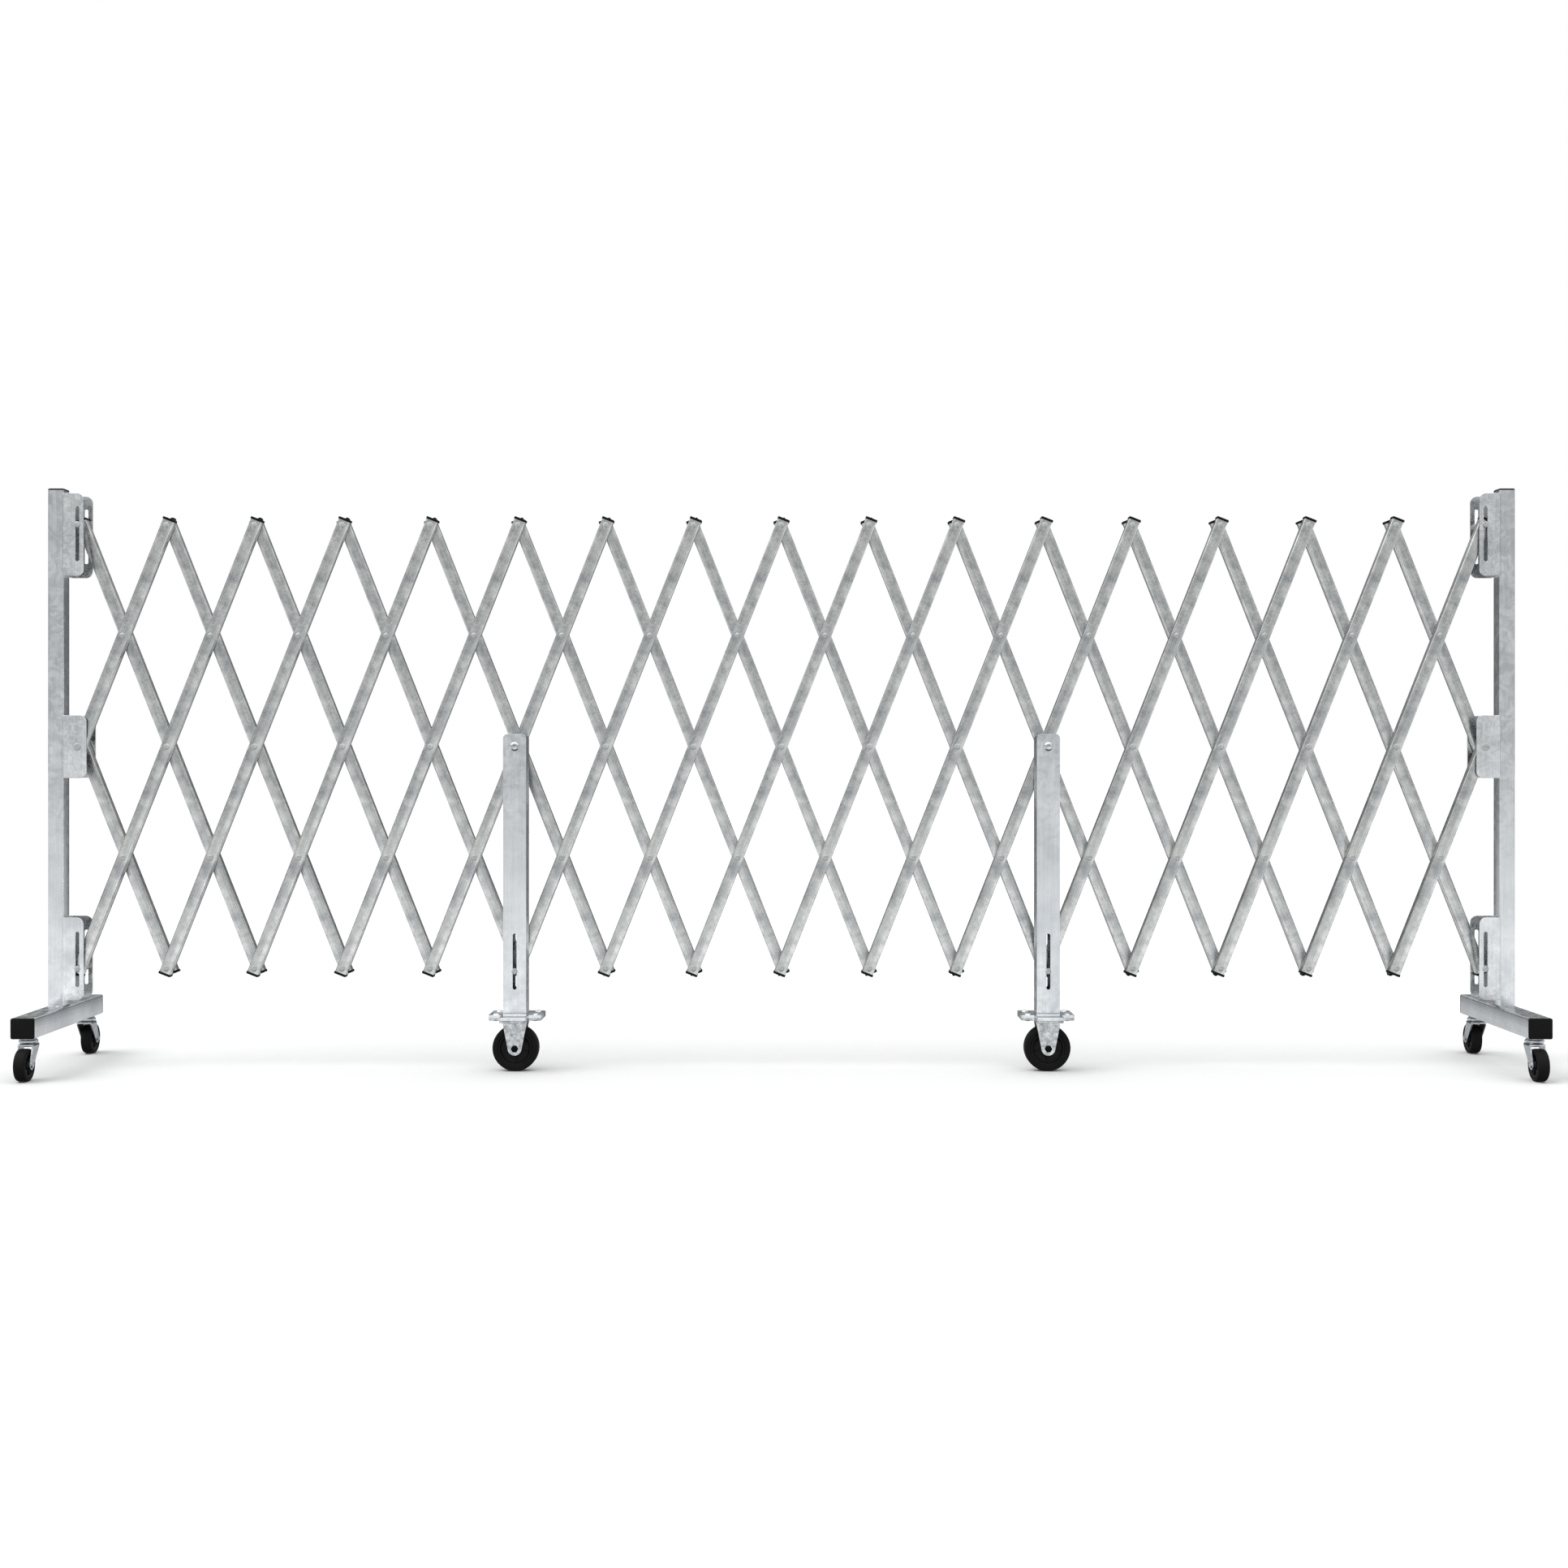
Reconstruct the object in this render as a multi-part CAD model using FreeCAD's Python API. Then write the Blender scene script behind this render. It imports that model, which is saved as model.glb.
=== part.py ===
import FreeCAD, Part
import math
import os

os.makedirs("parts", exist_ok=True)

# A folding crowd control barrier. Millimetres. +X runs along the barrier, +Y towards its rear, +Z up.
# The origin is on the floor, in the middle of the barrier.

# ---- Lattice ----
CELLS = 16                 # diamonds from one end post to the other
PIVOT_STEP = 209.0         # between neighbouring pivots along a slat
LEAN_DEG = 21.6            # a slat's lean from vertical, as drawn
LEAN_SHUT_DEG = 4.0        # the least lean, barrier pushed together
LEAN_WIDE_DEG = 38.5       # the most lean, barrier pulled right out
SLAT_WIDE = 20.0
SLAT_DEEP = 18.0
SLAT_WALL = 1.5
SLAT_TAIL = 12.5           # slat past its end pivot
LAYER_GAP = 1.0            # between the front and the rear slats
PIN_R = 3.0                # rivets and pins through the slats
HEAD_R = 6.0               # rivet heads and spacers
HEAD_HIGH = 2.2

# ---- End posts ----
POST_WIDE = 28.0
POST_DEEP = 30.0
POST_WALL = 2.0
POST_PAST_BRACKET = 6.5    # the post's top edge to the top bracket's
POST_TO_PINS = 27.0        # post's inner face to the line of bracket pins
CAP_THICK = 3.0
CAP_SOFT = 1.5             # rounding of the caps' outer edges
FOOT_WIDE = 40.0
FOOT_LONG = 350.0
FOOT_HIGH = 35.0
PLUG_FLANGE = 4.0
PLUG_DEEP = 12.0

# ---- Brackets ----
BRACKET_THICK = 2.5
BRACKET_TO_FOOT = 12.5     # the bottom bracket to the foot
BRACKET_PAST_PINS = 11.0
BRACKET_MARGIN = 23.0      # past the slot's outer end
BRACKET_INNER_MARGIN = 25.0
MIDDLE_BRACKET_TALL = 110.0
MIDDLE_BRACKET_PAST_PINS = 16.0
BRACKET_CORNER = 12.0
BRACKET_BEND = 3.0

# ---- Middle posts ----
PROP_COLUMNS = (5, 11)
PROP_SIZE = 40.0
PROP_WALL = 2.0
PROP_TOP_CORNER = 8.0
PROP_ABOVE_PIVOT = 22.0
PLATE_THICK = 6.0
PLATE_WIDE = 92.0
PLATE_LONG = 105.0
PLATE_WING_LONG = 70.0     # the wide part, behind a narrow tongue
PLATE_TONGUE_WIDE = 46.0
PLATE_EDGE = 12.0          # rivets to the edges of the wide part
PLATE_RIVET_R = 3.0
PLATE_RIVET_HEAD_R = 6.0
PLATE_RIVET_HEAD_HIGH = 2.0
PLATE_CORNER = 5.0
BOLT_R = 4.0               # pivot bolt
BOLT_HEAD_R = 8.0
BOLT_HEAD_HIGH = 3.0

# ---- Rigid castors under the middle posts ----
WHEEL_R = 40.0
WHEEL_WIDE = 30.0
FORK_THICK = 3.5
FORK_OVER_WHEEL = 8.5
FORK_TIP_R = 12.0
FORK_TOP_WIDE = 42.0
FORK_SHOULDER = 3.0        # where the legs start to taper, below the plate
FORK_TO_TREAD = 0.5        # added to the running gap beside the tread
AXLE_R = 5.0
AXLE_HEAD_R = 6.5
AXLE_HEAD_HIGH = 4.0
TYRE_DEEP = 11.0
WHEEL_DISH = 3.0           # the wheel's centre is set back by this much
WHEEL_HUB_WALL = 5.0
TYRE_SOFT = 2.0            # rounding of a tyre's shoulders

# ---- Swivel castors under the feet ----
CASTOR_WHEEL_R = 27.5
CASTOR_WHEEL_WIDE = 19.0
CASTOR_STEM_INSET = 30.0   # stem to the end of the foot
CASTOR_TRAIL = 20.0
CASTOR_FORK_THICK = 2.5
CASTOR_CROWN_THICK = 3.0
CASTOR_OVER_WHEEL = 3.0
CASTOR_HOUSING_R = 16.0
CASTOR_HOUSING_HIGH = 10.7
CASTOR_CROWN_HALF = 15.0
CASTOR_TIP_R = 8.0
KINGPIN_R = 4.0
KINGPIN_HEAD_R = 7.5
STEM_R = 5.0
STEM_NUT_R = 8.0
CASTOR_AXLE_R = 3.0
CASTOR_AXLE_HEAD_R = 5.5
CASTOR_AXLE_HEAD_HIGH = 2.5
CASTOR_TYRE_DEEP = 7.5
CASTOR_SHOULDER = 5.0
KINGPIN_HEAD_HIGH = 2.0
STEM_NUT_HIGH = 6.0
STEM_END = 3.0             # past the nut

# ---- Clearances ----
RUNNING = 0.1              # radial, a pin in a hole that turns on it
FACES = 0.3                # between faces that slide past each other
SLOT_SIDE = 0.3            # radial, a pin in its slot
SLOT_END = 0.5             # past a pin at the end of its travel
WHEEL_SIDE = 1.5           # wheel tread to fork leg
RIVET_TO_FLANGE = 1.3      # rivet head to the inside of a bracket or the back of a middle post

V = FreeCAD.Vector
Y_AXIS = V(0, 1, 0)
lean = math.radians(LEAN_DEG)
pitch = 2 * PIVOT_STEP * math.sin(lean)
pins_x = CELLS / 2 * pitch
post_in_x = pins_x + POST_TO_PINS
layer_near = LAYER_GAP / 2
layer_far = layer_near + SLAT_DEEP
flange_in = layer_far + HEAD_HIGH + FACES + RIVET_TO_FLANGE
flange_out = flange_in + BRACKET_THICK
tip_rise_shut = 2 * PIVOT_STEP * math.cos(math.radians(LEAN_SHUT_DEG))
tip_rise_wide = 2 * PIVOT_STEP * math.cos(math.radians(LEAN_WIDE_DEG))
slot_r = PIN_R + SLOT_SIDE
slot_far = tip_rise_shut + PIN_R + SLOT_END
slot_near = tip_rise_wide - PIN_R - SLOT_END

# heights, stacked up from the floor
crown_bottom = 2 * CASTOR_WHEEL_R + CASTOR_OVER_WHEEL
crown_top = crown_bottom + CASTOR_CROWN_THICK
foot_bottom = crown_top + FACES + CASTOR_HOUSING_HIGH
foot_top = foot_bottom + FOOT_HIGH
middle_z = foot_top + BRACKET_TO_FOOT + BRACKET_MARGIN + slot_far
post_top = middle_z + slot_far + BRACKET_MARGIN + POST_PAST_BRACKET


def block(x0, x1, y0, y1, z0, z1):
    return Part.makeBox(x1 - x0, y1 - y0, z1 - z0, V(x0, y0, z0))


def rod(axis, centre, radius, start, end):
    """A cylinder along one axis, from start to end on it. centre gives the other two coordinates."""
    if axis == "x":
        return Part.makeCylinder(radius, end - start, V(start, centre[0], centre[1]), V(1, 0, 0))
    if axis == "y":
        return Part.makeCylinder(radius, end - start, V(centre[0], start, centre[1]), V(0, 1, 0))
    return Part.makeCylinder(radius, end - start, V(centre[0], centre[1], start), V(0, 0, 1))


def turned(axis, centre, outline):
    """A solid of revolution from (radius, distance along the axis) points."""
    place = {
        "x": lambda r, a: V(a, centre[0], centre[1] + r),
        "y": lambda r, a: V(centre[0], a, centre[1] + r),
        "z": lambda r, a: V(centre[0] + r, centre[1], a),
    }[axis]
    points = [place(r, a) for r, a in outline]
    face = Part.Face(Part.makePolygon(points + points[:1]))
    direction = {"x": V(1, 0, 0), "y": V(0, 1, 0), "z": V(0, 0, 1)}[axis]
    return face.revolve(place(0, 0), direction, 360)


def pin(centre, steps, axis="y", soften=0.8):
    """A stepped pin: steps are (start, end, radius) along its axis. Both outer edges are chamfered."""
    outline = [(0, steps[0][0]), (steps[0][2] - soften, steps[0][0]), (steps[0][2], steps[0][0] + soften)]
    for start, end, radius in steps:
        outline += [(radius, start), (radius, end)]
    outline[3:4] = []
    outline[-1:] = [(steps[-1][2], steps[-1][1] - soften), (steps[-1][2] - soften, steps[-1][1])]
    outline.append((0, steps[-1][1]))
    return turned(axis, centre, outline)


def plate(plane, points, start, end):
    """A flat plate from an outline in plane yz or xz, between start and end on the third axis."""
    if plane == "yz":
        corners = [V(start, a, b) for a, b in points]
        move = V(end - start, 0, 0)
    else:
        corners = [V(a, start, b) for a, b in points]
        move = V(0, end - start, 0)
    return Part.Face(Part.makePolygon(corners + corners[:1])).extrude(move)


def rounded(shape, radius, wanted):
    """The shape with every straight edge filleted for which wanted(start, end) is true."""
    edges = [e for e in shape.Edges if wanted(e.Vertexes[0].Point, e.Vertexes[-1].Point)]
    return shape.makeFillet(radius, edges)


def touching(corner, centre, radius, side):
    """Where a line from a corner touches a circle, on its left (1) or right (-1) as seen from the corner."""
    across, up = corner[0] - centre[0], corner[1] - centre[1]
    angle = math.atan2(up, across) - side * math.acos(radius / math.hypot(across, up))
    return (centre[0] + radius * math.cos(angle), centre[1] + radius * math.sin(angle))


def slot_in_y(x, z0, z1, radius, y0, y1):
    """A cutter for a vertical slot with round ends, z0 to z1 over all."""
    cutter = block(x - radius, x + radius, y0, y1, z0 + radius, z1 - radius)
    for z in (z0 + radius, z1 - radius):
        cutter = cutter.fuse(rod("y", (x, z), radius, y0, y1))
    return cutter.removeSplitter()


def mirrored(shape, normal=V(1, 0, 0)):
    return shape.mirror(V(0, 0, 0), normal)


def save(node, solids):
    shape = solids[0] if len(solids) == 1 else Part.makeCompound(solids)
    shape.exportStep("parts/" + node + ".step")


# ---- Slats ----
# Front slats lean right, rear slats lean left. Pivots along a slat are numbered from -2, its bottom tip,
# to 2, its top tip. Slat n has its middle pivot in column n. The first and last slats of each row are halves.
rivet = [
    (-layer_far - HEAD_HIGH, -layer_far, HEAD_R),
    (-layer_far, layer_far + FACES, PIN_R),
    (layer_far + FACES, layer_far + FACES + HEAD_HIGH, HEAD_R),
]

# a slat's end pin in a bracket's slot. The spacer fills the other layer
front_slot_pin = [
    (-flange_out - FACES - HEAD_HIGH, -flange_out - FACES, HEAD_R),
    (-flange_out - FACES, -flange_in + FACES, PIN_R),
    (-flange_in + FACES, -layer_far, HEAD_R),
    (-layer_far, -layer_near, PIN_R),
    (-layer_near, flange_in - FACES, HEAD_R),
    (flange_in - FACES, flange_out + FACES, PIN_R),
    (flange_out + FACES, flange_out + FACES + HEAD_HIGH, HEAD_R),
]
rear_slot_pin = [(-end, -start, radius) for start, end, radius in reversed(front_slot_pin)]

# the bottom rivet behind a middle post, which runs on through the post's slot
prop_back = -flange_in
prop_front = prop_back - PROP_SIZE
prop_slot_pin = [
    (prop_front - FACES - HEAD_HIGH, prop_front - FACES, HEAD_R),
    (prop_front - FACES, prop_back + FACES, PIN_R),
    (prop_back + FACES, -layer_far, HEAD_R),
] + rivet[1:]


def pivots_of(row, n):
    if n == 0:
        return (0, 1, 2) if row == "front" else (-2, -1, 0)
    if n == CELLS:
        return (-2, -1, 0) if row == "front" else (0, 1, 2)
    return (-2, -1, 0, 1, 2)


def slat(row, n):
    pivots = pivots_of(row, n)
    side = -1 if row == "front" else 1
    near, far = sorted((side * layer_near, side * layer_far))
    low = pivots[0] * PIVOT_STEP - SLAT_TAIL
    high = pivots[-1] * PIVOT_STEP + SLAT_TAIL
    half = SLAT_WIDE / 2
    tube = block(-half, half, near, far, low, high)
    tube = tube.cut(
        block(
            -half + SLAT_WALL, half - SLAT_WALL, near + SLAT_WALL, far - SLAT_WALL, low - 1, high + 1
        )
    )
    pins = []
    for k in pivots:
        partner = n + side * -k
        column = n + (k / 2 if row == "front" else -k / 2)
        own = None
        radius = PIN_R + RUNNING
        if k == 0 and n in PROP_COLUMNS:
            radius = BOLT_R + RUNNING
        elif not 0 <= partner <= CELLS:
            own = front_slot_pin if row == "front" else rear_slot_pin
        elif row == "front" and not (k == 0 and n in (0, CELLS)):
            own = prop_slot_pin if k == -2 and column in PROP_COLUMNS else rivet
        if own:
            radius = PIN_R
            pins.append(pin((0, k * PIVOT_STEP), own))
        tube = tube.cut(rod("y", (0, k * PIVOT_STEP), radius, near - 1, far + 1))
    solids = [tube] + pins
    for solid in solids:
        solid.rotate(V(0, 0, 0), Y_AXIS, -side * LEAN_DEG)
        solid.translate(V((n - CELLS / 2) * pitch, 0, middle_z))
    save("slat_%s_%02d" % (row, n), solids)


for number in range(CELLS + 1):
    slat("front", number)
    slat("rear", number)


# ---- Brackets on the left end post ----
def channel(z0, z1, past_pins):
    """A C-shaped bracket with its web on the post and its open side towards the lattice."""
    web_x = -post_in_x
    tip_x = -pins_x + past_pins
    shape = block(web_x, tip_x, -flange_out, flange_out, z0, z1)

    def on_tip(a, b):
        return abs(a.x - tip_x) < 0.01 and abs(b.x - tip_x) < 0.01 and abs(a.z - b.z) < 0.01

    def along_web(a, b):
        return abs(a.x - web_x) < 0.01 and abs(b.x - web_x) < 0.01 and abs(a.y - b.y) < 0.01

    shape = rounded(shape, BRACKET_CORNER, on_tip)
    shape = rounded(shape, BRACKET_BEND, along_web)
    return shape.cut(block(web_x + BRACKET_THICK, tip_x + 1, -flange_in, flange_in, z0 - 1, z1 + 1))


def bracket_with_slot(up):
    """The top bracket if up is 1, the bottom one if it is -1."""
    outer = middle_z + up * (slot_far + BRACKET_MARGIN)
    inner = middle_z + up * (slot_near - BRACKET_INNER_MARGIN)
    shape = channel(min(outer, inner), max(outer, inner), BRACKET_PAST_PINS)
    ends = sorted((middle_z + up * slot_far, middle_z + up * slot_near))
    return shape.cut(slot_in_y(-pins_x, ends[0], ends[1], slot_r, -flange_out - 1, flange_out + 1))


middle_bracket = channel(
    middle_z - MIDDLE_BRACKET_TALL / 2, middle_z + MIDDLE_BRACKET_TALL / 2, MIDDLE_BRACKET_PAST_PINS
).cut(rod("y", (-pins_x, middle_z), PIN_R, -flange_out - 1, flange_out + 1))
middle_pin = pin(
    (-pins_x, middle_z),
    [
        (-flange_out - HEAD_HIGH, -flange_out, HEAD_R + 1),
        (-flange_out, -flange_in, PIN_R),
        (-flange_in, -layer_far - FACES, HEAD_R),
        (-layer_far - FACES, layer_far + FACES, PIN_R),
        (layer_far + FACES, flange_in, HEAD_R),
        (flange_in, flange_out, PIN_R),
        (flange_out, flange_out + HEAD_HIGH, HEAD_R + 1),
    ],
)
brackets = [bracket_with_slot(1), middle_bracket, bracket_with_slot(-1), middle_pin]

# ---- Left end post, foot and caps ----
post_x = -post_in_x - POST_WIDE / 2
post_low_x = post_x - POST_WIDE / 2
post_high_x = post_x + POST_WIDE / 2
stem_y = FOOT_LONG / 2 - CASTOR_STEM_INSET

post = block(post_low_x, post_high_x, -POST_DEEP / 2, POST_DEEP / 2, foot_top, post_top)
post = post.cut(
    block(
        post_low_x + POST_WALL,
        post_high_x - POST_WALL,
        -POST_DEEP / 2 + POST_WALL,
        POST_DEEP / 2 - POST_WALL,
        foot_top - 1,
        post_top + 1,
    )
)

foot_half = FOOT_LONG / 2 - PLUG_FLANGE
foot = block(
    post_x - FOOT_WIDE / 2, post_x + FOOT_WIDE / 2, -foot_half, foot_half, foot_bottom, foot_top
).cut(
    block(
        post_x - FOOT_WIDE / 2 + POST_WALL,
        post_x + FOOT_WIDE / 2 - POST_WALL,
        -foot_half - 1,
        foot_half + 1,
        foot_bottom + POST_WALL,
        foot_top - POST_WALL,
    )
)
for y in (-stem_y, stem_y):
    foot = foot.cut(rod("z", (post_x, y), STEM_R, foot_bottom - 1, foot_bottom + POST_WALL + 1))

cap_top = post_top + CAP_THICK
top_cap = block(post_low_x, post_high_x, -POST_DEEP / 2, POST_DEEP / 2, post_top, cap_top)
top_cap = rounded(top_cap, CAP_SOFT, lambda a, b: min(a.z, b.z) > cap_top - 0.01)
top_cap = top_cap.fuse(
    block(
        post_low_x + POST_WALL,
        post_high_x - POST_WALL,
        -POST_DEEP / 2 + POST_WALL,
        POST_DEEP / 2 - POST_WALL,
        post_top - PLUG_DEEP,
        post_top,
    )
).removeSplitter()

plug_front = -foot_half - PLUG_FLANGE
plug = block(post_x - FOOT_WIDE / 2, post_x + FOOT_WIDE / 2, plug_front, -foot_half, foot_bottom, foot_top)
plug = rounded(plug, CAP_SOFT, lambda a, b: max(a.y, b.y) < plug_front + 0.01)
plug = plug.fuse(
    block(
        post_x - FOOT_WIDE / 2 + POST_WALL,
        post_x + FOOT_WIDE / 2 - POST_WALL,
        -foot_half,
        -foot_half + PLUG_DEEP,
        foot_bottom + POST_WALL,
        foot_top - POST_WALL,
    )
).removeSplitter()
caps = [top_cap, plug, mirrored(plug, V(0, 1, 0))]


# ---- Castor stems: housing, kingpin, threaded stem and its nut ----
def stem(y):
    head_top = crown_bottom - FACES
    nut_low = foot_bottom + POST_WALL
    nut_high = nut_low + STEM_NUT_HIGH
    return pin(
        (post_x, y),
        [
            (head_top - KINGPIN_HEAD_HIGH, head_top, KINGPIN_HEAD_R),
            (head_top, crown_top + FACES, KINGPIN_R),
            (crown_top + FACES, foot_bottom, CASTOR_HOUSING_R),
            (foot_bottom, nut_low, STEM_R),
            (nut_low, nut_high, STEM_NUT_R),
            (nut_high, nut_high + STEM_END, STEM_R),
        ],
        "z",
    )


stems = [stem(-stem_y), stem(stem_y)]

# ---- Swivel castor forks and wheels, the left rear one, trailing outwards ----
leg_in = CASTOR_WHEEL_WIDE / 2 + WHEEL_SIDE
leg_out = leg_in + CASTOR_FORK_THICK
wheel_y = stem_y + CASTOR_TRAIL
tip_centre = (wheel_y, CASTOR_WHEEL_R)
crown_in_y = stem_y - CASTOR_CROWN_HALF
crown_out_y = stem_y + CASTOR_CROWN_HALF
leg_outline = [
    (crown_in_y, crown_top),
    (crown_out_y, crown_top),
    touching((crown_out_y, crown_top), tip_centre, CASTOR_TIP_R, 1),
    tip_centre,
    touching((crown_in_y, crown_bottom - CASTOR_SHOULDER), tip_centre, CASTOR_TIP_R, -1),
    (crown_in_y, crown_bottom - CASTOR_SHOULDER),
]
fork = block(post_x - leg_out, post_x + leg_out, crown_in_y, crown_out_y, crown_bottom, crown_top)
for x in (post_x - leg_out, post_x + leg_in):
    leg = plate("yz", leg_outline, x, x + CASTOR_FORK_THICK)
    tip = rod("x", tip_centre, CASTOR_TIP_R, x, x + CASTOR_FORK_THICK)
    fork = fork.fuse(leg.fuse(tip))
fork = fork.removeSplitter()
fork = fork.cut(rod("z", (post_x, stem_y), KINGPIN_R + RUNNING, crown_bottom - 1, crown_top + 1))
fork = fork.cut(rod("x", tip_centre, CASTOR_AXLE_R, post_x - leg_out - 1, post_x + leg_out + 1))
fork_axle = pin(
    tip_centre,
    [
        (post_x - leg_out - CASTOR_AXLE_HEAD_HIGH, post_x - leg_out, CASTOR_AXLE_HEAD_R),
        (post_x - leg_out, post_x + leg_out, CASTOR_AXLE_R),
        (post_x + leg_out, post_x + leg_out + CASTOR_AXLE_HEAD_HIGH, CASTOR_AXLE_HEAD_R),
    ],
    "x",
    0.6,
)


def wheel(axis, middle, centre, radius, wide, bore, hub_half, tyre_deep):
    """A wheel with a rounded tread, sides dished inside its tyre, and a hub that reaches the fork."""
    half = wide / 2
    dish = half - WHEEL_DISH
    hub_r = bore + WHEEL_HUB_WALL
    rim_r = radius - tyre_deep
    outline = [
        (bore, -hub_half),
        (hub_r, -hub_half),
        (hub_r, -dish),
        (rim_r - TYRE_SOFT, -dish),
        (rim_r, -half),
        (radius - 2 * TYRE_SOFT, -half),
        (radius - TYRE_SOFT / 2, -half + TYRE_SOFT),
        (radius, -half + 2.5 * TYRE_SOFT),
    ]
    outline += [(r, -a) for r, a in reversed(outline)]
    return turned(axis, centre, [(r, a + middle) for r, a in outline])


castor_wheel = wheel(
    "x",
    post_x,
    tip_centre,
    CASTOR_WHEEL_R,
    CASTOR_WHEEL_WIDE,
    CASTOR_AXLE_R + RUNNING,
    leg_in - FACES,
    CASTOR_TYRE_DEEP,
)

for side, flip in (("left", False), ("right", True)):
    groups = {
        "post": [post],
        "foot": [foot],
        "caps": caps,
        "brackets": brackets,
        "castor_stems": stems,
        "rear_fork": [fork, fork_axle],
        "rear_wheel": [castor_wheel],
        "front_fork": [mirrored(fork, Y_AXIS), mirrored(fork_axle, Y_AXIS)],
        "front_wheel": [mirrored(castor_wheel, Y_AXIS)],
    }
    for name, solids in groups.items():
        save(side + "_" + name, [mirrored(s) for s in solids] if flip else solids)

# ---- Middle posts with their rigid castors ----
prop_y = prop_back - PROP_SIZE / 2
fork_top = 2 * WHEEL_R + FORK_OVER_WHEEL
fork_plate_top = fork_top + FORK_THICK
base_top = fork_plate_top + PLATE_THICK
prop_top = middle_z + PROP_ABOVE_PIVOT
prop_leg_in = WHEEL_WIDE / 2 + WHEEL_SIDE + FORK_TO_TREAD
prop_leg_out = prop_leg_in + FORK_THICK
plate_back = prop_y + PLATE_LONG / 2


def plate_block(x, z0, z1):
    """A T-shaped plate between a middle post and its castor: wide behind, with a tongue in front."""
    half_x, half_tongue = PLATE_WIDE / 2, PLATE_TONGUE_WIDE / 2
    wings = block(x - half_x, x + half_x, plate_back - PLATE_WING_LONG, plate_back, z0, z1)
    tongue = block(x - half_tongue, x + half_tongue, plate_back - PLATE_LONG, plate_back, z0, z1)
    shape = wings.fuse(tongue).removeSplitter()
    return rounded(shape, PLATE_CORNER, lambda a, b: abs(a.z - b.z) > 1)


def prop(side, column):
    x = (column - CELLS / 2) * pitch
    half = PROP_SIZE / 2
    inside = half - PROP_WALL
    tube = block(x - half, x + half, prop_front, prop_back, base_top, prop_top)
    tube = rounded(
        tube, PROP_TOP_CORNER, lambda a, b: min(a.z, b.z) > prop_top - 0.01 and abs(a.x - b.x) < 0.01
    )
    hollow = block(
        x - inside,
        x + inside,
        prop_front + PROP_WALL,
        prop_back - PROP_WALL,
        base_top - 1,
        prop_top - PROP_TOP_CORNER,
    )
    tube = tube.cut(hollow)
    tube = tube.cut(rod("y", (x, middle_z), BOLT_R, prop_front - 1, prop_back + 1))
    tube = tube.cut(
        slot_in_y(x, middle_z - slot_far, middle_z - slot_near, slot_r, prop_front - 1, prop_back + 1)
    )
    bolt = pin(
        (x, middle_z),
        [
            (prop_front - BOLT_HEAD_HIGH, prop_front, BOLT_HEAD_R),
            (prop_front, prop_back, BOLT_R),
            (prop_back, -layer_far - FACES, BOLT_HEAD_R),
            (-layer_far - FACES, layer_far + FACES, BOLT_R),
            (layer_far + FACES, layer_far + FACES + BOLT_HEAD_HIGH, BOLT_HEAD_R),
        ],
    )
    save(side + "_prop", [tube, bolt])

    base = plate_block(x, fork_plate_top, base_top)
    carrier = plate_block(x, fork_top, fork_plate_top)
    rivet_steps = [
        (fork_top - PLATE_RIVET_HEAD_HIGH, fork_top, PLATE_RIVET_HEAD_R),
        (fork_top, base_top, PLATE_RIVET_R),
        (base_top, base_top + PLATE_RIVET_HEAD_HIGH, PLATE_RIVET_HEAD_R),
    ]
    plate_rivets = []
    for dx in (PLATE_EDGE - PLATE_WIDE / 2, PLATE_WIDE / 2 - PLATE_EDGE):
        for y in (plate_back - PLATE_WING_LONG + PLATE_EDGE, plate_back - PLATE_EDGE):
            at = (x + dx, y)
            hole = rod("z", at, PLATE_RIVET_R, fork_top - 1, base_top + 1)
            base = base.cut(hole)
            carrier = carrier.cut(hole)
            plate_rivets.append(pin(at, rivet_steps, "z"))
    save(side + "_prop_base", [base] + plate_rivets)

    shoulder_z = fork_top - FORK_SHOULDER
    left_x, right_x = x - FORK_TOP_WIDE / 2, x + FORK_TOP_WIDE / 2
    outline = [
        (left_x, fork_top + 1),
        (right_x, fork_top + 1),
        (right_x, shoulder_z),
        touching((right_x, shoulder_z), (x, WHEEL_R), FORK_TIP_R, 1),
        (x, WHEEL_R),
        touching((left_x, shoulder_z), (x, WHEEL_R), FORK_TIP_R, -1),
        (left_x, shoulder_z),
    ]
    for y in (prop_y - prop_leg_out, prop_y + prop_leg_in):
        leg = plate("xz", outline, y, y + FORK_THICK)
        tip = rod("y", (x, WHEEL_R), FORK_TIP_R, y, y + FORK_THICK)
        carrier = carrier.fuse(leg.fuse(tip))
    carrier = carrier.removeSplitter()
    bore = rod("y", (x, WHEEL_R), AXLE_R, prop_y - prop_leg_out - 1, prop_y + prop_leg_out + 1)
    carrier = carrier.cut(bore)
    axle = pin(
        (x, WHEEL_R),
        [
            (prop_y - prop_leg_out - AXLE_HEAD_HIGH, prop_y - prop_leg_out, AXLE_HEAD_R),
            (prop_y - prop_leg_out, prop_y + prop_leg_out, AXLE_R),
            (prop_y + prop_leg_out, prop_y + prop_leg_out + AXLE_HEAD_HIGH, AXLE_HEAD_R),
        ],
    )
    save(side + "_prop_fork", [carrier, axle])
    rolling = wheel(
        "y", prop_y, (x, WHEEL_R), WHEEL_R, WHEEL_WIDE, AXLE_R + RUNNING, prop_leg_in - FACES, TYRE_DEEP
    )
    save(side + "_prop_wheel", [rolling])


for side, column in zip(("left", "right"), PROP_COLUMNS):
    prop(side, column)
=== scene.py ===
import math

import bmesh
import bpy
from mathutils import Matrix, Vector


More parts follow.
